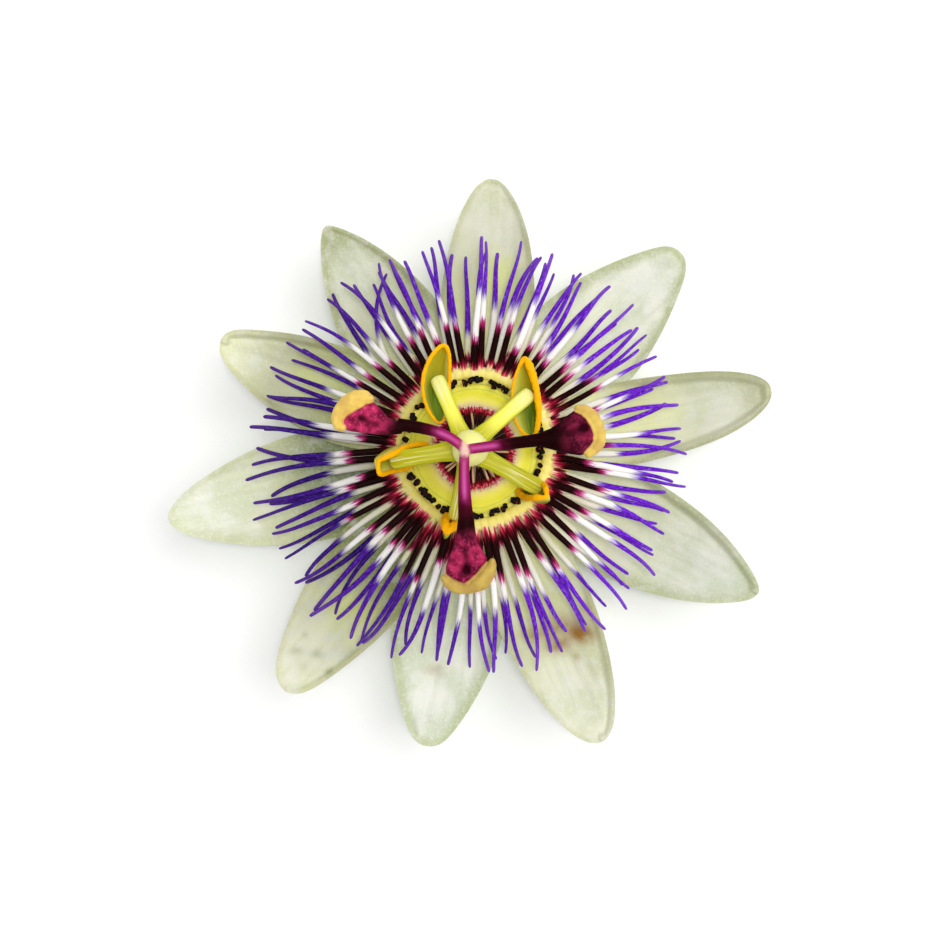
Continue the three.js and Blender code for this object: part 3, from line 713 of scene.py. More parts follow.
def arm_look():
    """Yellow-green, with painted shade at the sides and painted highlight streaks towards the end."""
    look = Look("stamen_arm", 0.36, 0.18, (0.2, 0.6, (0.8, 0.9, 0.1)))
    side, along, chance, pale = look.values("side", "along", "chance", "pale")
    lines = look.streaks([(side, 3.2), (along, 1.1), (chance, 40.0)], 1.3, 2.0)
    tinted = look.mix(look.fade(along, 0.1, 0.7), (0.49, 0.46, 0.006), (0.48, 0.46, 0.010))
    # pale lightens the outer half, partly the arm's own colour and partly painted highlight
    bright = look.mix(look.times(pale, look.fade(along, 0.2, 0.5)), tinted, (0.90, 0.86, 0.10))
    body = look.mix(look.times(pale, look.fade(along, 0.62, 0.88, 0.8)), bright, (0.76, 0.79, 0.30))
    striped = look.mix(look.fade(lines, 0.42, 0.66, 0.45), body, (0.74, 0.73, 0.09))
    # Painted shade at both sides of the arm
    sides = look.mix(look.fade(look.size(side), 0.6, 1.0, 0.65), striped, (0.40, 0.44, 0.012))
    # gloss is a painted highlight: pale streaks along the middle towards the end
    gloss = look.times(look.fade(along, 0.45, 0.75), look.fade(lines, 0.46, 0.6, 0.8))
    middle = look.fade(look.size(side), 0.75, 0.35)
    look.colour(look.mix(look.times(gloss, middle), sides, (0.86, 0.80, 0.46)))
    look.bump(lines, 0.14, 0.7)
    return look


def anther_look():
    """Lime to dark green inside the boat, and thick orange pollen round its edge."""
    look = Look("anther", 0.6, 0.1)
    along, side, chance, rim = look.values("along", "side", "chance", "rim")
    grains = look.cells(look.place(), 6000.0)
    streaks = look.streaks([(side, 3.0), (along, 1.4), (chance, 1.0)], 1.6, 3.0)
    down = look.fade(along, 0.25, 0.7)
    lime = look.mix(down, (0.36, 0.30, 0.008), (0.10, 0.15, 0.006))
    strand = look.mix(down, (0.27, 0.24, 0.01), (0.19, 0.33, 0.02))
    inside = look.mix(look.fade(streaks, 0.42, 0.66, 0.7), lime, strand)
    inside = look.mix(look.fade(side, 0.0, 0.8, 0.6), inside, (0.56, 0.58, 0.06))
    cream = look.mix(look.fade(look.size(side), 0.62, 0.95, 0.7), inside, (0.72, 0.66, 0.22))
    pollen = look.mix(look.fade(grains, 0.0, 0.6), (1.0, 0.58, 0.001), (0.98, 0.44, 0.0))
    look.colour(look.mix(rim, cream, pollen))
    look.bump(look.times(grains, rim), 0.1, 0.6)
    return look


def ovary_look():
    look = Look("ovary", 0.6, 0.5, (0.35, 1.0, (1.0, 1.0, 0.4)))
    soft = look.noise(look.place(), 500.0, 3.0)
    look.colour(look.mix(look.fade(soft, 0.3, 0.7), (0.78, 0.78, 0.24), (0.84, 0.83, 0.33)))
    look.bump(look.noise(look.place(), 3000.0, 2.0), 0.03, 0.4)
    return look


def style_look():
    """A pale joint, then magenta with a painted highlight along its top, nearly black, velvet crimson
    with painted shade, and an ochre edge at a painted light level.
    """
    look = Look("style", 0.5, 0.02)
    along, highlight_line, dusk, head = look.values("along", "highlight_line", "dusk", "head")
    groove, rim, glow = look.values("groove", "rim", "glow")
    place = look.place()
    soft = look.noise(place, 700.0, 3.0)
    fine = look.noise(place, 3200.0, 3.0, 0.6)
    moved = look.wander(along, soft, 1.0)
    stalk = look.ramp(moved, -2.0, 20.0, [
        (0.35, (0.78, 0.50, 0.42)), (0.75, (0.34, 0.04, 0.12)), (1.3, (0.28, 0.010, 0.08)),
        (3.2, (0.25, 0.008, 0.095)), (4.1, (0.20, 0.006, 0.06)), (5.0, (0.06, 0.002, 0.012)),
        (6.2, (0.014, 0.001, 0.002)), (12.0, (0.008, 0.0006, 0.0006)),
    ])
    # A painted highlight along the top of the magenta stalk
    lit = look.times(look.times(highlight_line, look.fade(moved, 4.9, 3.4)), look.fade(moved, 0.6, 1.2, 0.75))
    stalk = look.mix(lit, stalk, (0.66, 0.12, 0.40))
    shade = look.mix(look.fade(soft, 0.35, 0.65), (0.13, 0.004, 0.028), (0.46, 0.025, 0.10))
    velvet = look.mix(look.fade(fine, 0.5, 0.8, 0.5), shade, (0.70, 0.12, 0.24))
    # dusk darkens the velvet with painted shade, more on its underside; below 0 it brightens it with
    # painted light
    body = look.mix(head, stalk, look.tint(velvet, look.math("MULTIPLY_ADD", dusk, -1.0, 1.0)))
    # Painted shade in the groove and the pit
    pit_and_groove_shaded = look.mix(groove, body, (0.025, 0.001, 0.005))
    blend = look.plus(look.fade(soft, 0.35, 0.65, 0.5), look.fade(rim, 0.75, 1.0, 0.5))
    # glow sets how bright each ochre edge is painted, a painted light level
    ochre = look.tint(look.mix(blend, (0.62, 0.34, 0.12), (0.95, 0.68, 0.15)), glow)
    look.colour(look.mix(look.fade(look.wander(rim, soft, 0.5), 0.25, 0.7), pit_and_groove_shaded, ochre))
    look.bump(fine, 0.08, 0.5)
    return look


def green_look(name, dark, light, ribbed):
    """Matt leaf green, lighter along the ribs."""
    look = Look(name, 0.55, 0.5, (0.1, 0.6, (0.5, 1.0, 0.2)))
    soft = look.noise(look.place(), 400.0, 4.0)
    body = look.mix(look.fade(soft, 0.3, 0.7), dark, light)
    look.colour(look.mix(look.times(*look.values("rib"), ribbed), body, (0.52, 0.60, 0.26)))
    look.bump(look.noise(look.place(), 2500.0, 2.0), 0.06, 0.5)
    return look


def make_camera():
    data = bpy.data.cameras.new("camera")
    data.sensor_width = SENSOR
    data.lens = SENSOR * VIEW_DISTANCE / VIEW_WIDTH
    data.clip_start = 0.01
    data.clip_end = 20.0
    camera = link("camera", data)
    camera.location = (CAMERA_X * MM, CAMERA_Y * MM, CAMERA_Z * MM)
    bpy.context.scene.camera = camera


def make_floor():
    """A pale floor, in metres, that curves up far away into a backdrop."""
    flat = 0.5
    bend = 0.45
    sides = 72
    profile = [(flat / 2, 0.0), (flat, 0.0)]
    for angle in steps(9, 0, 90):
        profile.append((flat + bend * wave(90 - angle), bend * (1 - wave(angle))))
    profile.append((flat + bend, 2 * bend))
    points = [(0.0, 0.0, 0.0)]
    points += [tuple(polar(radius, bearing, z)) for radius, z in profile for bearing in turns(sides)]
    faces = []
    for j in range(sides):
        k = (j + 1) % sides
        faces.append((0, 1 + j, 1 + k))
        for i in range(len(profile) - 1):
            a = 1 + i * sides
            faces.append((a + j, a + sides + j, a + sides + k, a + k))
    mesh = bpy.data.meshes.new("floor")
    mesh.from_pydata(points, [], faces)
    mesh.shade_smooth()
    floor = link("floor", mesh)
    look = Look("pale_floor", 0.8)
    look.colour((0.93, 0.93, 0.93))
    mesh.materials.append(look.material)


def make_light(name, place, size, power, colour):
    data = bpy.data.lights.new(name, "AREA")
    data.shape = "DISK"
    data.size = size
    data.energy = power
    data.color = colour
    light = link(name, data)
    light.location = place
    light.rotation_euler = (Vector((0, 0, 0.015)) - Vector(place)).to_track_quat("-Z", "Y").to_euler()


def make_lights():
    make_light("key", (0.34, 0.17, 0.66), 0.7, 2.9, (1.0, 0.99, 0.97))
    make_light("front", (0.03, 0.02, 0.75), 0.16, 2.2, (1.0, 1.0, 1.0))
    world = bpy.data.worlds.new("world")
    world.use_nodes = True
    background = world.node_tree.nodes["Background"]
    background.inputs["Color"].default_value = (1.0, 1.0, 1.0, 1.0)
    background.inputs["Strength"].default_value = 0.36
    bpy.context.scene.world = world
    bpy.context.scene.view_settings.view_transform = "Standard"


def make_pedicel(look):
    """The cut stub of the stem, with six faint ridges."""
    shape = Shape("rib")
    cut = STEM_CUT_Z
    profile = [(0.02, cut + 0.06), (0.5, cut + 0.03), (0.86, cut), (0.97, cut + 0.15), (1.0, cut + 0.5),
               (1.02, 2.0), (1.06, 3.0), (1.16, 3.8), (1.25, STEM_TOP_Z - 0.1), (1.2, STEM_TOP_Z),
               (0.02, STEM_TOP_Z)]
    rings = []
    for share, z in profile:
        rings.append([polar(STEM_RADIUS * share * (1 + 0.035 * wave(6 * b)), b, z) for b in turns(48)])
    shape.loft(rings, lambda i, j: {"rib": 0.7 if i < 3 else 0.0})
    piece("pedicel_skin", shape, look, "stem", "pedicel")


def make_cup(look):
    """A bowl with five faint lobes and a dimpled underside."""
    shape = Shape("rib")
    stops = [(0.0, 0.05, 0.3), (0.06, 0.6, 0.25), (0.2, 2.4, 0.0), (0.36, 4.6, 0.3), (0.52, 6.6, 1.5),
             (0.66, 7.7, 3.1), (0.82, CUP_RIM_RADIUS, 4.8), (0.88, CUP_RIM_RADIUS - 0.1, 5.15),
             (0.92, CUP_RIM_RADIUS - 0.4, 5.3), (1.0, 0.6, 5.3)]
    bearings = turns(120)
    rings = []
    ribs = []
    for t in steps(42):
        radius = between(stops, t, 1)
        z = CUP_BOTTOM_Z + between(stops, t, 2)
        ring = []
        for bearing in bearings:
            lobe = wave(CUP_LOBES * bearing) * 0.16 * smooth((CUP_TOP_Z - 1.5 - z) / 3)
            fold = 0.012 * wave(CUP_RIBS * bearing) * smooth((radius - 2) / 4)
            ring.append(polar(radius * (1 + lobe * smooth(radius / 5) + fold), bearing, z))
        rings.append(ring)
        ribs.append(0.5 * smooth((radius - 3) / 4))
    shape.loft(rings, lambda i, j: {"rib": ribs[i] * (0.5 + 0.5 * wave(CUP_RIBS * bearings[j]))})
    piece("floral_cup_skin", shape, look, "cup", "floral_cup")


def bract_height(s):
    fall = smooth(s / BRACT_FLAT_START)
    climb = smooth((s - BRACT_FLAT_END) / (1 - BRACT_FLAT_END))
    return BRACT_ROOT_Z * (1 - fall) + BRACT_TIP_Z * climb + BRACT_THICKNESS


def bract_half_width(s):
    base = 0.16 + 0.84 * math.sin(math.pi / 2 * min(s / 0.5, 1))
    end = max((s - 0.5) / 0.5, 0)
    return BRACT_HALF_WIDTH * base * (1 - end * end) ** 0.75


def make_bract(number, bearing, look):
    """A small leaf that arches down to a flat spot on the surface, with sunken side veins."""
    shape = Shape("rib")
    turn = turned(bearing)

    def at(s, u):
        half = bract_half_width(s)
        lift = 1.3 * max(abs(u) - 0.5, 0) * smooth(s / 0.3)
        middle = bell(u * half / 0.3) * (1 - s)
        veins = max(math.cos(math.tau * (s * 7 - abs(u) * 1.1)), 0) ** 12 * (1 - abs(u)) ** 0.5
        groove = 0.16 * middle + 0.08 * veins * smooth(s / 0.1)
        x = BRACT_ROOT_RADIUS + (BRACT_TIP_RADIUS - BRACT_ROOT_RADIUS) * s
        z = bract_height(s) + lift
        thick = BRACT_THICKNESS * math.sqrt(max(1 - abs(u) ** 5, 0.0)) * math.sqrt(1 - s ** 16)
        low = z - BRACT_THICKNESS + (BRACT_THICKNESS - thick) * 0.35
        top = turn @ Vector((x, u * half, low + thick - groove))
        rib = {"rib": max(middle, 0.7 * veins)}
        return top, turn @ Vector((x, u * half, low)), rib, rib

    shape.blade(lengthwise(60, 1.4), crosswise(33), at)
    piece(f"bract_{number}_leaf", shape, look, "bract", f"bract_{number}")


def tepal_half_width(spec, s):
    base = TEPAL_ROOT_WIDTH + (1 - TEPAL_ROOT_WIDTH) * math.sin(math.pi / 2 * min(s / TEPAL_WIDEST, 1))
    end = min(max((s - TEPAL_WIDEST) / (1 - TEPAL_WIDEST), 0), 1)
    return spec.half * base * (1 - spec.taper * end ** spec.curve) * math.sqrt(1 - end ** spec.blunt)


def tepal_flat(spec, whorl, s, u):
    """The upper face of a tepal at a place along it and across it, before it is turned to its bearing."""
    half = tepal_half_width(spec, s)
    fullness = (half / spec.half) ** 2
    middle = whorl.base + whorl.rise * s * s - whorl.dip * math.sin(math.pi * s ** 0.8)
    cup = whorl.cup * fullness * min(s / whorl.cup_from, 1) * u * u
    roll = spec.roll * smooth((s - 0.45) / 0.3) * math.sqrt(fullness) * abs(u) ** 5
    across = u * half + spec.bend * s ** 3
    return Vector((TEPAL_ROOT_RADIUS + (spec.tip - TEPAL_ROOT_RADIUS) * s, across, middle + cup + roll))


def tepal_fold(spec, s, u, edge):
    """Share of a folded margin at a place, and how far inside its crease the place is."""
    fold = (spec.fold_left if u > 0 else spec.fold_right) * smooth((s - 0.35) / 0.2)
    return fold, edge - 0.5 - 0.6 * fold


def tepal_relief(spec, flat, s, u, edge, seed):
    """Long soft veins, waves, folded margins and a raised tip on the upper face."""
    open_part = smooth((s - 0.12) / 0.25)
    veins = 0.035 * math.cos(math.tau * flat.y / 1.7 + 2.5 * ripple(flat, 9, seed))
    streaks = 0.11 * grain(flat.x / 11, flat.y / 1.5, seed * 3.3)
    waves = 0.32 * grain(flat.x / 8, flat.y / 5, seed * 5.1)
    margin = 0.4 * ripple(flat, 3.5, seed + 9) * smooth(1 - edge / 2.0)
    fold, inside = tepal_fold(spec, s, u, edge)
    folded = fold * (0.9 * smooth(0.5 - inside / 0.6) - 0.22 * bell((inside - 0.3) / 0.45))
    hood = spec.hood * smooth((s - 0.86) / 0.14) ** 1.5
    return (veins + streaks + waves) * smooth(edge / 1.5) * open_part + margin * open_part + folded + hood


def tepal_olive(spec, s, u, edge, band):
    """How olive the upper face is: at the margin, at the tip, and on a folded margin."""
    fold, inside = tepal_fold(spec, s, u, edge)
    margin = (0.55 + 0.6 * min(spec.olive, 0.5)) * smooth(1 - edge / band)
    tip = spec.olive * smooth((s - 0.72) / 0.25)
    return max(margin, tip, 0.15 * fold * smooth(0.5 - inside / 0.4))


def marks_at(point, marks):
    """How strong the marks are at a point, from 0 to 1."""
    total = 0.0
    for x, y, size, stretch, depth in marks:
        dx = (point.x - x) / (size * stretch)
        dy = (point.y - y) / size
        total += depth * math.exp(-dx * dx - dy * dy)
    return min(total, 1.0)


def dusk_at(point):
    """How much a place is on the flower's shaded side, from 0 to 1."""
    away = math.cos(math.atan2(point.y, point.x) - math.radians(DUSK_BEARING))
    return (0.5 + 0.5 * away) ** 1.5


def tepal_values(spec, whorl, s, u, edge, flat, point, seed):
    """The values of a point on the upper face."""
    fold, inside = tepal_fold(spec, s, u, edge)
    # Painted shade in the crease of a folded margin; the grey-green smudges are added to it below
    crease = 0.22 * min(fold * 1.4, 1) * bell((inside - 0.1) / 0.3)
    return {
        "along": s, "across": flat.y, "reach": flat.x, "warm": spec.warm, "chance": seed * 3.7,
        # Near the corona tone is painted light and shade
        "tone": between(list(zip(TONE_PLACES, spec.tone)), s),
        # Painted shade on the inner part, on the flower's shaded side
        "dusk": spec.dusk * smooth((31 - flat.x) / 11),
        "olive": tepal_olive(spec, s, u, edge, whorl.band),
        "crease": crease + 1.4 * marks_at(point, SMUDGES),
        "stain": marks_at(point, STAINS), "blush": marks_at(point, BLUSHES), "top": 1.0,
    }


def make_tepal(whorl_name, number, spec, whorl, look, seed):
    shape = Shape("along", "across", "reach", "olive", "crease", "warm", "tone", "dusk", "top", "chance",
                  "stain", "blush")
    turn = turned(spec.bearing)
    length = spec.tip - TEPAL_ROOT_RADIUS

    def at(s, u):
        half = tepal_half_width(spec, s)
        flat = tepal_flat(spec, whorl, s, u)
        edge = min(half * (1 - abs(u)), length * (1 - s))
        rounding = math.sqrt(max(1 - abs(u) ** 3, 0.0)) * math.sqrt(1 - s ** 14)
        thick = whorl.thick * rounding * (1 - 0.35 * s)
        keel = whorl.keel * (1 - s) * bell(u * half / 0.8)
        raised = flat + UP * tepal_relief(spec, flat, s, u, edge, seed)
        top = turn @ raised
        upper = tepal_values(spec, whorl, s, u, edge, flat, top, seed)
        lower = {**upper, "top": smooth((0.35 - edge) / 0.3), "stain": 0.0, "blush": 0.0}
        return top, turn @ (raised - UP * (thick + keel)), upper, lower

    shape.blade(lengthwise(TEPAL_ROWS, 1.5), crosswise(TEPAL_POINTS_ACROSS), at)
    if whorl.keel:
        add_awn(shape, spec, seed)
    piece(f"{whorl_name}_{number}_blade", shape, look, whorl_name, f"{whorl_name}_{number}")


def add_awn(shape, spec, seed):
    """The small horn behind a sepal's tip, on its underside."""
    root = turned(spec.bearing) @ tepal_flat(spec, SEPAL, 0.9, 0)
    out = polar(1, spec.bearing)
    path = [root + out * (t * AWN_LENGTH) + UP * (-0.35 - 1.3 * t) for t in steps(9)]
    radii = [AWN_RADIUS * between([(0, 1), (0.5, 0.7), (0.9, 0.35), (1, 0.08)], t) for t in steps(9)]
    shape.strand(path, radii, radii, 12, {"along": 0.9, "chance": seed * 3.7})


def corona_paths(row):
    """Each filament leans a little to its neighbour and sways towards its tip. With each path go the
    places along it, its twists, two random values and its dusk, how much painted shade it gets."""
    draw = draws(row.seed)
    more = draws(row.seed + 400)
    places = steps(40, -0.03, 0.97) + list(FILAMENT_TIP)
    for i in range(CORONA_COUNT):
        pair = 1 if i % 2 == 0 else -1
        bearing = (i + row.offset + spread(draw, 0.3)) * 360 / CORONA_COUNT
        lean = pair * (0.9 + 0.8 * next(draw))
        sway = spread(draw, 7) - pair * 1.2
        away = wave(bearing - CORONA_LEAN_BEARING)
        tip = CORONA_TIP_RADIUS + CORONA_LEAN * away - row.short + 2.6 * (next(draw) - 0.6)
        height = row.tip + spread(draw, 0.7)
        swept = row.short * SWEEP * smooth(1 - abs(bearing - SWEEP_BEARING) / SWEEP_WIDTH)
        hook = spread(more, 4.5)
        bend = spread(more, 1.6)
        phase = next(more) * math.tau
        twist = spread(more, 2.4)
        path = []
        twists = []
        for s in places:
            turn = bearing + lean * math.sin(math.pi * 0.8 * s) + (sway - swept) * s * abs(s)
            turn += bend * math.sin(phase + 7 * s) * s + hook * smooth((s - 0.72) / 0.5) ** 2
            z = row.root + (height - row.root) * s + row.lift * math.sin(math.pi * s) * 0.7
            path.append(polar(CORONA_ROOT_RADIUS + (tip - CORONA_ROOT_RADIUS) * s, turn, z))
            twists.append(twist * smooth((s - 0.3) / 0.7))
        dusk = dusk_at(polar(1, bearing)) + spread(more, 0.3)
        yield path, places, twists, next(more), next(more), min(max(dusk, 0), 1)


def make_corona_row(row):
    """The long filaments of a row and the ring that they grow from."""
    shape = Shape("reach", "side", "chance", "late", "dusk")
    around = circle(12)
    for path, places, twists, chance, late, dusk in corona_paths(row):
        girth = 0.86 + 0.28 * chance
        widths = [between(FILAMENT_WIDTHS, s) * girth * FILAMENT_TIP.get(s, 1.0) for s in places]
        heights = [between(FILAMENT_HEIGHTS, s) * girth * FILAMENT_TIP.get(s, 1.0) for s in places]
        reach = [band_reach(p) for p in path]
        fixed = {"chance": chance, "late": late, "dusk": dusk}
        shape.strand(path, widths, heights, len(around),
                     lambda i, j: {"reach": reach[i], "side": around[j][0], **fixed}, twists)
    add_membrane(shape, row)
    look = filament_look(f"{row.name}_filaments", row.bands, row.violet)
    piece(f"corona_{row.name}_filaments", shape, look, "corona", f"corona_{row.name}_row")


def add_membrane(shape, row):
    """The pale ring that the filaments of a row grow from, finely ribbed in line with them. sheet is how
    far it reaches outwards under them."""
    wide = row.sheet
    corners = [(9.75, -0.7), (11.0 + wide, -0.5), (11.5 + wide, -0.2), (11.2 + wide, 0.0),
               (10.9 + wide / 2, 0.2), (10.5, 0.3), (10.0, 0.26), (9.75, -0.05)]
    bearings = turns(720)
    rings = []
    for bearing in bearings:
        rib = 0.07 * wave(CORONA_COUNT * (bearing - row.offset * 360 / CORONA_COUNT))
        ring = []
        for radius, height in corners:
            rough = rib + 0.06 * grain(bearing / 1.4, radius * 0.3) if height > 0 else 0
            z = row.root + (height + rough)
            centred = smooth((radius - 9.9) / 1.4)
            ring.append(ring_place(radius, bearing, z).lerp(polar(radius, bearing, z), centred))
        rings.append(ring)

    def values(i, j):
        around = math.radians(bearings[i])
        return {"reach": min(corners[j][0], 10.6), "side": 10 * math.cos(around), "late": 0.5,
                "chance": 0.4 + 0.1 * math.sin(around), "dusk": dusk_at(rings[i][j])}

    shape.loft(rings, values, hoop=True)


def band_reach(point):
    """Distance from the axis as the bands of colour take it."""
    radius = math.hypot(point.x, point.y)
    along_x = between(BAND_MOVES, radius, 1)
    along_y = between(BAND_MOVES, radius, 2)
    return radius - (along_x * point.x + along_y * point.y) / radius


def ring_place(radius, bearing, z):
    """A place on the rings of the heads, the disc and the fringe."""
    flat = polar(radius, bearing, z)
    share = smooth((radius - RING_INSIDE_RADIUS) / (RING_OUTSIDE_RADIUS - RING_INSIDE_RADIUS))
    x, y, squeeze = (low + (high - low) * share for low, high in zip(RING_INSIDE, RING_OUTSIDE))
    return Vector((x + flat.x * squeeze, y + flat.y, z))


def add_base(shape, corners, count, values):
    """The plain ring that heads or strands grow from, with these corners in section."""
    rings = [[ring_place(radius, bearing, z) for radius, z in corners] for bearing in turns(count)]
    shape.loft(rings, values, hoop=True)


def make_inner_row(look):
    """Short stalks with dark lumpy heads, in an uneven ring with gaps in it. None is inside an anther."""
    shape = Shape("top")
    draw = draws(HEAD_SEED)
    walls = anther_walls()
    for i in range(HEAD_COUNT):
        bearing = (i + spread(draw, 0.6)) * 360 / HEAD_COUNT
        if i % HEAD_GAP_EVERY == HEAD_GAP_EVERY // 2:
            continue
        radius = HEAD_RING_RADIUS + spread(draw, 0.6)
        z = HEAD_Z + spread(draw, 0.5)
        size = HEAD_RADIUS * (0.85 + 0.35 * next(draw))
        foot = ring_place(HEAD_RING_RADIUS + 0.1, bearing, 12.0)
        head = ring_place(radius, bearing, z)
        turn = turned(bearing + spread(draw, 50))
        radii = (size * (1.0 + 0.4 * next(draw)), size * 0.95, size * 0.9)
        if min((head - point).length for point in walls) < HEAD_CLEARANCE:
            continue
        path = [foot.lerp(head, t) for t in steps(6)]
        shape.strand(path, [STALK_RADIUS] * 6, [STALK_RADIUS] * 6, 8, {})
        shape.ball(head, radii, turn, {"top": 1.0}, rows=9, sides=16, lumps=0.35, seed=i, square=0.7)
    corners = [(9.0, 10.6), (9.9, 10.6), (10.1, 12.1), (9.8, 12.35), (9.4, 12.35), (9.0, 12.1)]
    add_base(shape, corners, 180, {})
    piece("corona_inner_heads", shape, look, "corona_heads", "corona_inner_row")


def make_disc(look):
    """The stepped ring of the nectar disc, with a low bumpy top."""
    shape = Shape("reach", "turn", "dusk")
    profile = [(0.05, DISC_BOTTOM_Z), (DISC_RADIUS, DISC_BOTTOM_Z), (DISC_RADIUS, 11.6), (9.0, 11.95),
               (8.75, 12.08), (8.5, 12.1), (8.36, 12.05), (8.22, 12.1), (7.9, 12.08), (7.5, 11.95),
               (7.1, 12.0), (6.8, 12.02), (6.5, 11.95), (6.15, 11.85), (5.85, 11.65), (5.6, 11.3),
               (5.5, 10.9), (4.0, 10.9), (0.05, 10.9)]
    bearings = turns(180)
    rings = []
    for radius, z in profile:
        ring = []
        for bearing in bearings:
            bump = 0.05 * grain(radius * 1.2, bearing * 0.175) if z > 11 else 0
            ring.append(ring_place(radius, bearing, z + bump))
        rings.append(ring)
    dusk = [dusk_at(polar(1, bearing)) for bearing in bearings]
    shape.loft(rings, lambda i, j: {"reach": profile[i][0], "turn": bearings[j] / 30, "dusk": dusk[j]})
    piece("nectar_disc_skin", shape, look, "disc", "nectar_disc")


def make_fringe(look):
    """Fine dark strands towards the column, and a short pale fuzz outwards."""
    shape = Shape("reach", "chance")
    draw = draws(FRINGE_SEED)
    along = steps(14)
    thickness = [(0, 0.12), (0.4, 0.17), (0.8, 0.13), (1, 0.04)]
    widths = [between(thickness, s) for s in along]
    for i in range(FRINGE_COUNT):
        bearing = (i + spread(draw, 0.7)) * 360 / FRINGE_COUNT
        inner = FRINGE_INNER_RADIUS + 0.6 * next(draw)
        bend = spread(draw, 10)
        rise = 0.3 + 0.5 * next(draw)
        chance = next(draw)
        outer = FRINGE_RADIUS + spread(draw, 0.35)
        rise += 0.35 if chance > FRINGE_TAN_FROM else 0.0
        reach = [outer + (inner - outer) * s for s in along]
        path = []
        for s, radius in zip(along, reach):
            z = 11.85 + rise * math.sin(math.pi * s) + 0.2 * s
            path.append(ring_place(radius, bearing + bend * s * s, z))
        shape.strand(path, widths, widths, 7, lambda i, j: {"reach": reach[i], "chance": chance})
    widths = [0.07, 0.085, 0.08, 0.065, 0.02]
    for i in range(FUZZ_COUNT):
        bearing = (i + spread(draw, 1.8)) * 360 / FUZZ_COUNT
        start = ring_place(FRINGE_RADIUS - 0.35, bearing, 11.95)
        radius = FRINGE_RADIUS + 0.1 + 0.5 * next(draw)
        end = ring_place(radius, bearing + spread(draw, 6), 12.15 + 0.35 * next(draw))
        path = [start.lerp(end, s) for s in steps(5)]
        pale = 0.45 + 0.85 * next(draw)
        shape.strand(path, widths, widths, 6, lambda i, j: {"reach": 5.1 + pale * i / 4})
    corners = [(4.9, 11.0), (5.8, 11.0), (5.85, 11.5), (5.6, 11.7), (5.3, 11.7), (4.9, 11.5)]
    add_base(shape, corners, 120, {"reach": 4.9})
    piece("operculum_hairs", shape, look, "fringe", "operculum_fringe")


def column_centre(z):
    t = smooth((z - COLUMN_BOTTOM_Z) / (COLUMN_TOP_Z - COLUMN_BOTTOM_Z))
    return Vector((COLUMN_LEAN_X * t, 0, z))


def arm_end(stamen):
    top = column_centre(COLUMN_TOP_Z)
    return polar(stamen.reach, stamen.bearing, ARM_Z) + Vector((top.x, top.y, 0))


def add_arm(shape, number, stamen):
    """A flat arm with ribs along it and a rounded end."""
    top = column_centre(COLUMN_TOP_Z)
    root = Vector((top.x, top.y, ARM_Z))
    end = arm_end(stamen)
    places = steps(36, 0.04, 0.96) + list(ARM_TIP)
    path = [root.lerp(end, s) + UP * (ARM_ARCH * math.sin(math.pi * s) - ARM_DROOP * s ** 6)
            for s in places]
    broad = [(0, 1.75), (0.18, 1.3), (0.35, 1.08), (0.6, 1.0), (0.88, 1.06), (1, 0.98)]
    thick = [(0, 1.1), (0.3, 1.0), (0.6, 0.9), (0.88, 0.75), (1, 0.6)]
    widths = [stamen.arm * between(broad, s) * ARM_TIP.get(s, 1.0) for s in places]
    heights = [ARM_HALF_THICKNESS * between(thick, s) * ARM_TIP.get(s, 1.0) ** 0.5 for s in places]
    around = circle(28)
    fixed = {"chance": number / 5, "pale": stamen.pale}
    shape.strand(path, widths, heights, len(around),
                 lambda i, j: {"along": places[i], "side": around[j][0], **fixed})


def make_column(look):
    """The column with five soft ridges, and its five arms."""
    shape = Shape("along", "side", "chance", "pale")
    profile = [(1.6, COLUMN_BOTTOM_Z), (1.55, 11.6), (1.45, 11.9), (1.32, 12.4), (COLUMN_RADIUS, 13),
               (COLUMN_RADIUS, 14.5), (COLUMN_RADIUS, 16), (1.3, 17.4), (1.38, 18.5), (1.6, 19.3),
               (1.9, 20), (1.95, 20.4), (1.85, COLUMN_TOP_Z - 0.25), (1.5, COLUMN_TOP_Z)]
    bearings = turns(60)
    ridges = [wave(COLUMN_RIDGES * bearing) for bearing in bearings]
    rings = []
    for radius, z in profile:
        centre = column_centre(z)
        rings.append([centre + polar(radius * (1 + 0.04 * r), b) for r, b in zip(ridges, bearings)])
    shape.loft(rings, lambda i, j: {"side": ridges[j], "chance": 0.3})
    for number, stamen in enumerate(STAMENS):
        add_arm(shape, number, stamen)
    piece("column_and_arms", shape, look, "column", "androgynophore")


def anther_frame(stamen):
    """Centre and three directions of an anther: along it, across it, and out of its hollow side."""
    tip = math.radians(stamen.tipped)
    axis = polar(math.cos(tip), stamen.anther, math.sin(tip))
    across = Matrix.Rotation(math.radians(stamen.roll), 3, axis) @ polar(1, stamen.anther + 90)
    back = axis.cross(across)
    to_grip = axis * ((0.5 - stamen.held) * ANTHER_LENGTH)
    centre = arm_end(stamen) - UP * ARM_DROOP - back * ANTHER_DROP - to_grip
    return centre + Vector((*stamen.shift, 0)), axis, across, back


def anther_point(stamen, frame, s, u):
    centre, axis, across, back = frame
    t = 2 * s - 1
    full = 0.94 * max(1 - abs(2 * s ** stamen.skew - 1) ** stamen.blunt, 0) ** 0.62 + 0.06
    return (centre - axis * (t * ANTHER_LENGTH * 0.5 - u * full * stamen.shear)
            + across * (u * stamen.half * full - stamen.bow * t * t)
            + back * (ANTHER_DEPTH * u * u * full + ANTHER_SHEER * t * t))


def anther_walls():
    """Points all over both faces of the anthers."""
    points = []
    for stamen in STAMENS:
        frame = anther_frame(stamen)
        for s in steps(30):
            for u in steps(9, -1, 1):
                point = anther_point(stamen, frame, s, u)
                points += [point, point - frame[3] * ANTHER_THICKNESS]
    return points


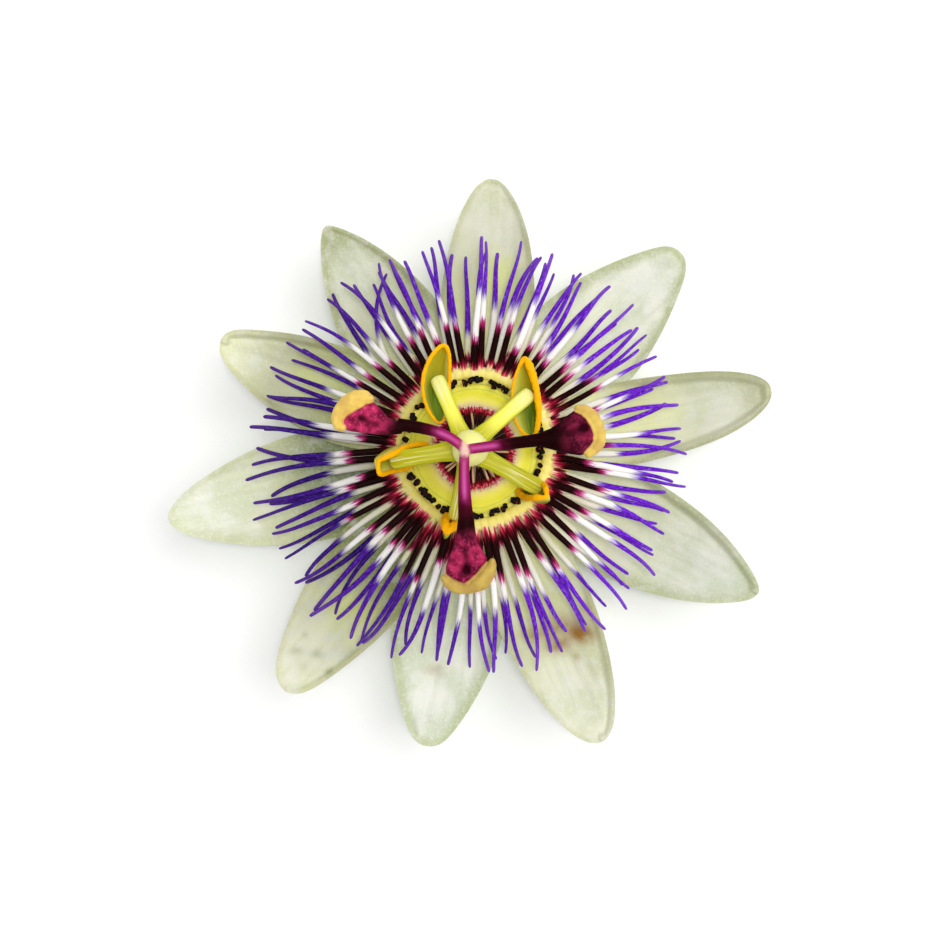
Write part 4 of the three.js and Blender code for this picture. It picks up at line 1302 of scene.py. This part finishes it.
def make_anther(number, stamen, look):
    """A boat held under the end of its arm, with a thick edge of pollen."""
    shape = Shape("along", "side", "rim", "chance")
    frame = anther_frame(stamen)
    back = frame[3]

    def at(s, u):
        top = anther_point(stamen, frame, s, u)
        thick = ANTHER_THICKNESS * (0.35 + 0.65 * math.sqrt(max(1 - u ** 4, 0.0)))
        upper = {"along": s, "side": u, "chance": number * 1.3}
        return top, top - back * thick, upper, {**upper, "along": 0.2}

    shape.blade(steps(48), crosswise(21), at, edges=True)
    there = [(s, 1, 0) for s in steps(70)]
    back_again = [(s, -1, 1) for s in steps(70)[::-1]]
    edge = [anther_point(stamen, frame, s, u) for s, u, _ in there + back_again]
    sizes = [rim_radius(stamen, s, side) for s, _, side in there + back_again]
    add_pollen(shape, edge, back, sizes, number)
    piece(f"anther_{number}_boat", shape, look, "anther", f"anther_{number}")


def rim_radius(stamen, s, side):
    """Radius of the pollen at a place along one edge. It is the same for both edges where they meet."""
    edges = (stamen.rims[side], stamen.rims[1 - side])
    this, other = (start + (end - start) * s for start, end in edges)
    apart = smooth(s / 0.12) * smooth((1 - s) / 0.12)
    return stamen.pollen * (0.5 * (this + other) + 0.5 * (this - other) * apart)


def add_pollen(shape, edge, back, sizes, seed):
    """A lumpy roll of pollen round a closed edge."""
    count = len(edge)
    rings = []
    for i, point in enumerate(edge):
        along = (edge[(i + 2) % count] - edge[i - 2]).normalized()
        out = along.cross(back).normalized()
        size = sizes[i] * (1 + 0.25 * ripple(point, 1.2, seed))
        ring = []
        for c, s in circle(12):
            way = out * c + back * s
            lump = 1 + 0.25 * ripple(point + way * size, 0.35, seed + 5)
            ring.append(point - back * 0.1 + way * (size * lump))
        rings.append(ring)
    shape.loft(rings, {"rim": 1.0, "along": 0.5, "chance": seed * 1.3}, hoop=True)


def make_ovary(look):
    """An egg with three faint lobes."""
    shape = Shape()
    height = OVARY_TOP_Z - OVARY_BOTTOM_Z
    rings = []
    for s in [0.004, 0.02, 0.06] + steps(26, 0.1, 0.95) + [0.975, 0.99, 0.998]:
        t = 2 * s ** 0.9 - 1
        radius = OVARY_RADIUS * math.sqrt(max(1 - t * t, 0)) ** 0.85
        centre = Vector((OVARY_X, OVARY_Y, OVARY_BOTTOM_Z + height * s))
        ring = []
        for bearing in turns(60):
            lobe = 1 + 0.025 * wave(3 * bearing + 30) * math.sin(math.pi * s)
            ring.append(centre + polar(radius * lobe, bearing))
        rings.append(ring)
    shape.loft(rings, {})
    piece("ovary_skin", shape, look, "ovary", "ovary")


def stigma_place(spec, along, side, up):
    """A point of a stigma, in millimetres along its style, to the left, and up."""
    s = along / spec.reach
    rise = STYLE_RISE * (smooth(s / 0.8) - 0.7 * s ** 3)
    sideways = polar(1, spec.bearing + 90) * side
    return STYLE_ROOT + polar(1, spec.bearing) * along + sideways + UP * (rise + up)


def style_place(spec, s):
    """The middle of a style at a share of its reach. It bends sideways by up to its bow."""
    return stigma_place(spec, spec.reach * s, spec.bow * 9.5 * s * (1 - s) ** 3, 0.0)


def along_edge(spec):
    """Centres and radii of balls along the stigma's ochre edge."""
    last = len(spec.edge) - 1
    stops = [(i / last, *stop) for i, stop in enumerate(spec.edge)]
    for t in steps(EDGE_BALLS):
        along, side, radius = (between(stops, t, column) for column in (1, 2, 3))
        yield stigma_place(spec, along, side, -0.1), radius


def add_fan(shape, spec):
    """The velvet of a stigma: oval across, widening from the style."""
    stops = spec.fan
    rings = []
    for t in steps(32):
        along = stops[0][0] + (stops[-1][0] - stops[0][0]) * t
        right = between(stops, along, 1)
        left = between(stops, along, 2)
        height = between([(0, spec.radius), (0.4, 1.1), (0.8, 1.05), (1, 0.5)], t)
        ring = []
        for c, s in circle(32):
            side = (right + left) / 2 + (left - right) / 2 * c
            ring.append(stigma_place(spec, along, side, height * s))
        rings.append(ring)
    shape.loft(rings, {})


def grown_together(shape):
    """One smooth skin over the parts of a shape."""
    grown = link("grown", mesh_of("grown", shape))
    remesh = grown.modifiers.new("remesh", "REMESH")
    remesh.mode = "VOXEL"
    remesh.voxel_size = STYLE_SKIN_CELL * MM
    soften = grown.modifiers.new("soften", "SMOOTH")
    soften.factor = 0.5
    soften.iterations = 8
    graph = bpy.context.evaluated_depsgraph_get()
    mesh = bpy.data.meshes.new_from_object(grown.evaluated_get(graph))
    bpy.data.objects.remove(grown)
    return mesh


def make_style(number, spec, look):
    """A style that widens into a fan-shaped stigma."""
    shape = Shape()
    turn = turned(spec.bearing)
    start = spec.fan[0][0] / spec.reach
    places = steps(44, 0.0, start + 0.05)
    path = [style_place(spec, s) for s in places]
    stops = [(0, STYLE_ROOT_RADIUS), (0.4 * start, STYLE_ROOT_RADIUS + 0.06), (start, spec.radius)]
    radii = [between(stops, s) for s in places]
    shape.strand(path, radii, radii, 20, {})
    if number == 1:
        shape.ball(STYLE_ROOT - UP * 0.1, [STYLE_JOINT_RADIUS] * 3, turn, {}, rows=14, sides=24)
    add_fan(shape, spec)
    for centre, radius in along_edge(spec):
        radii = (radius, radius, max(radius, EDGE_HALF_HEIGHT))
        shape.ball(centre, radii, turn, {}, rows=12, sides=18)
    mesh = grown_together(shape)
    shape_stigma(mesh, spec)
    mesh.shade_smooth()
    mesh.name = f"style_{number}_skin"
    piece(mesh.name, mesh, look, "style", f"style_{number}")


def shape_stigma(mesh, spec):
    """Sinks the pit and groove, roughens the velvet, and adds the values for the colours."""
    out = polar(1, spec.bearing)
    across = polar(1, spec.bearing + 90)
    balls = list(along_edge(spec))
    pit = Vector(spec.pit)
    start = Vector(spec.groove)
    columns = {}
    for vertex in mesh.vertices:
        point = vertex.co / MM - Vector((AXIS_X, AXIS_Y, 0))
        offset = point - STYLE_ROOT
        flat = Vector((offset.dot(out), offset.dot(across)))
        middle = style_place(spec, min(max(flat.x / spec.reach, 0), 1))
        near_top = smooth((point.z - middle.z - 0.1) / 0.8)
        share = min(max((flat - start).dot(pit - start) / (pit - start).length_squared, 0), 1)
        line = (flat - start.lerp(pit, share)).length
        groove = bell(line / (0.3 + 0.25 * share)) * near_top * smooth(share * 3)
        hole = bell((flat - pit).length / 0.8) * near_top
        nearest = min((point - centre).xy.length - radius for centre, radius in balls)
        rim = smooth(1 - (nearest + 0.05) / 0.45)
        head = smooth((flat.x - spec.velvet[0]) / spec.velvet[1])
        rough = (0.1 * ripple(point, 0.8, 4) + 0.22 * ripple(point, 2.2, 6)) * head * (1 - rim)
        rough += 0.14 * ripple(point, 2.0, 7) * rim
        vertex.co.z += (rough * near_top - 0.25 * groove - 0.6 * spec.hole * hole) * MM
        beside = (offset - (middle - STYLE_ROOT)).dot(across)
        values = {
            "along": flat.x * MAGENTA_LENGTH / spec.magenta, "glow": spec.glow, "head": head,
            "rim": rim * smooth((flat.x - 12.5) / 0.8),
            # How much painted shade the groove and the pit get
            "groove": min(0.7 * groove + spec.hole * hole, 1.0),
            # A painted highlight along the top of the style
            "highlight_line": bell(beside / 0.3) * near_top,
            # Painted shade on the velvet, as set for the style, and more on its underside
            "dusk": spec.dusk * (1 - 0.5 * smooth((flat.x - 14) / 3)) + 0.35 * (1 - near_top),
        }
        for name, value in values.items():
            columns.setdefault(name, []).append(value)
    add_values(mesh, columns)


def main():
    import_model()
    make_camera()
    make_floor()
    make_lights()
    make_pedicel(green_look("stem_green", (0.20, 0.27, 0.06), (0.30, 0.38, 0.10), 1.0))
    make_cup(green_look("cup_green", (0.34, 0.42, 0.13), (0.44, 0.50, 0.19), 0.6))
    leaf = green_look("bract_green", (0.13, 0.23, 0.045), (0.22, 0.33, 0.08), 0.7)
    for number, bearing in enumerate(BRACT_BEARINGS, 1):
        make_bract(number, bearing, leaf)
    sepal_look = tepal_look("sepal_skin", (0.30, 0.40, 0.14))
    petal_look = tepal_look("petal_skin", (0.70, 0.74, 0.52))
    for number, spec in enumerate(SEPALS, 1):
        make_tepal("sepal", number, spec, SEPAL, sepal_look, number)
    for number, spec in enumerate(PETALS, 1):
        make_tepal("petal", number, spec, PETAL, petal_look, number + 20)
    for row in CORONA_ROWS:
        make_corona_row(row)
    make_inner_row(heads_look())
    make_disc(disc_look())
    make_fringe(fringe_look())
    make_column(arm_look())
    pollen = anther_look()
    for number, stamen in enumerate(STAMENS, 1):
        make_anther(number, stamen, pollen)
    make_ovary(ovary_look())
    velvet = style_look()
    for number, spec in enumerate(STYLES, 1):
        make_style(number, spec, velvet)


main()
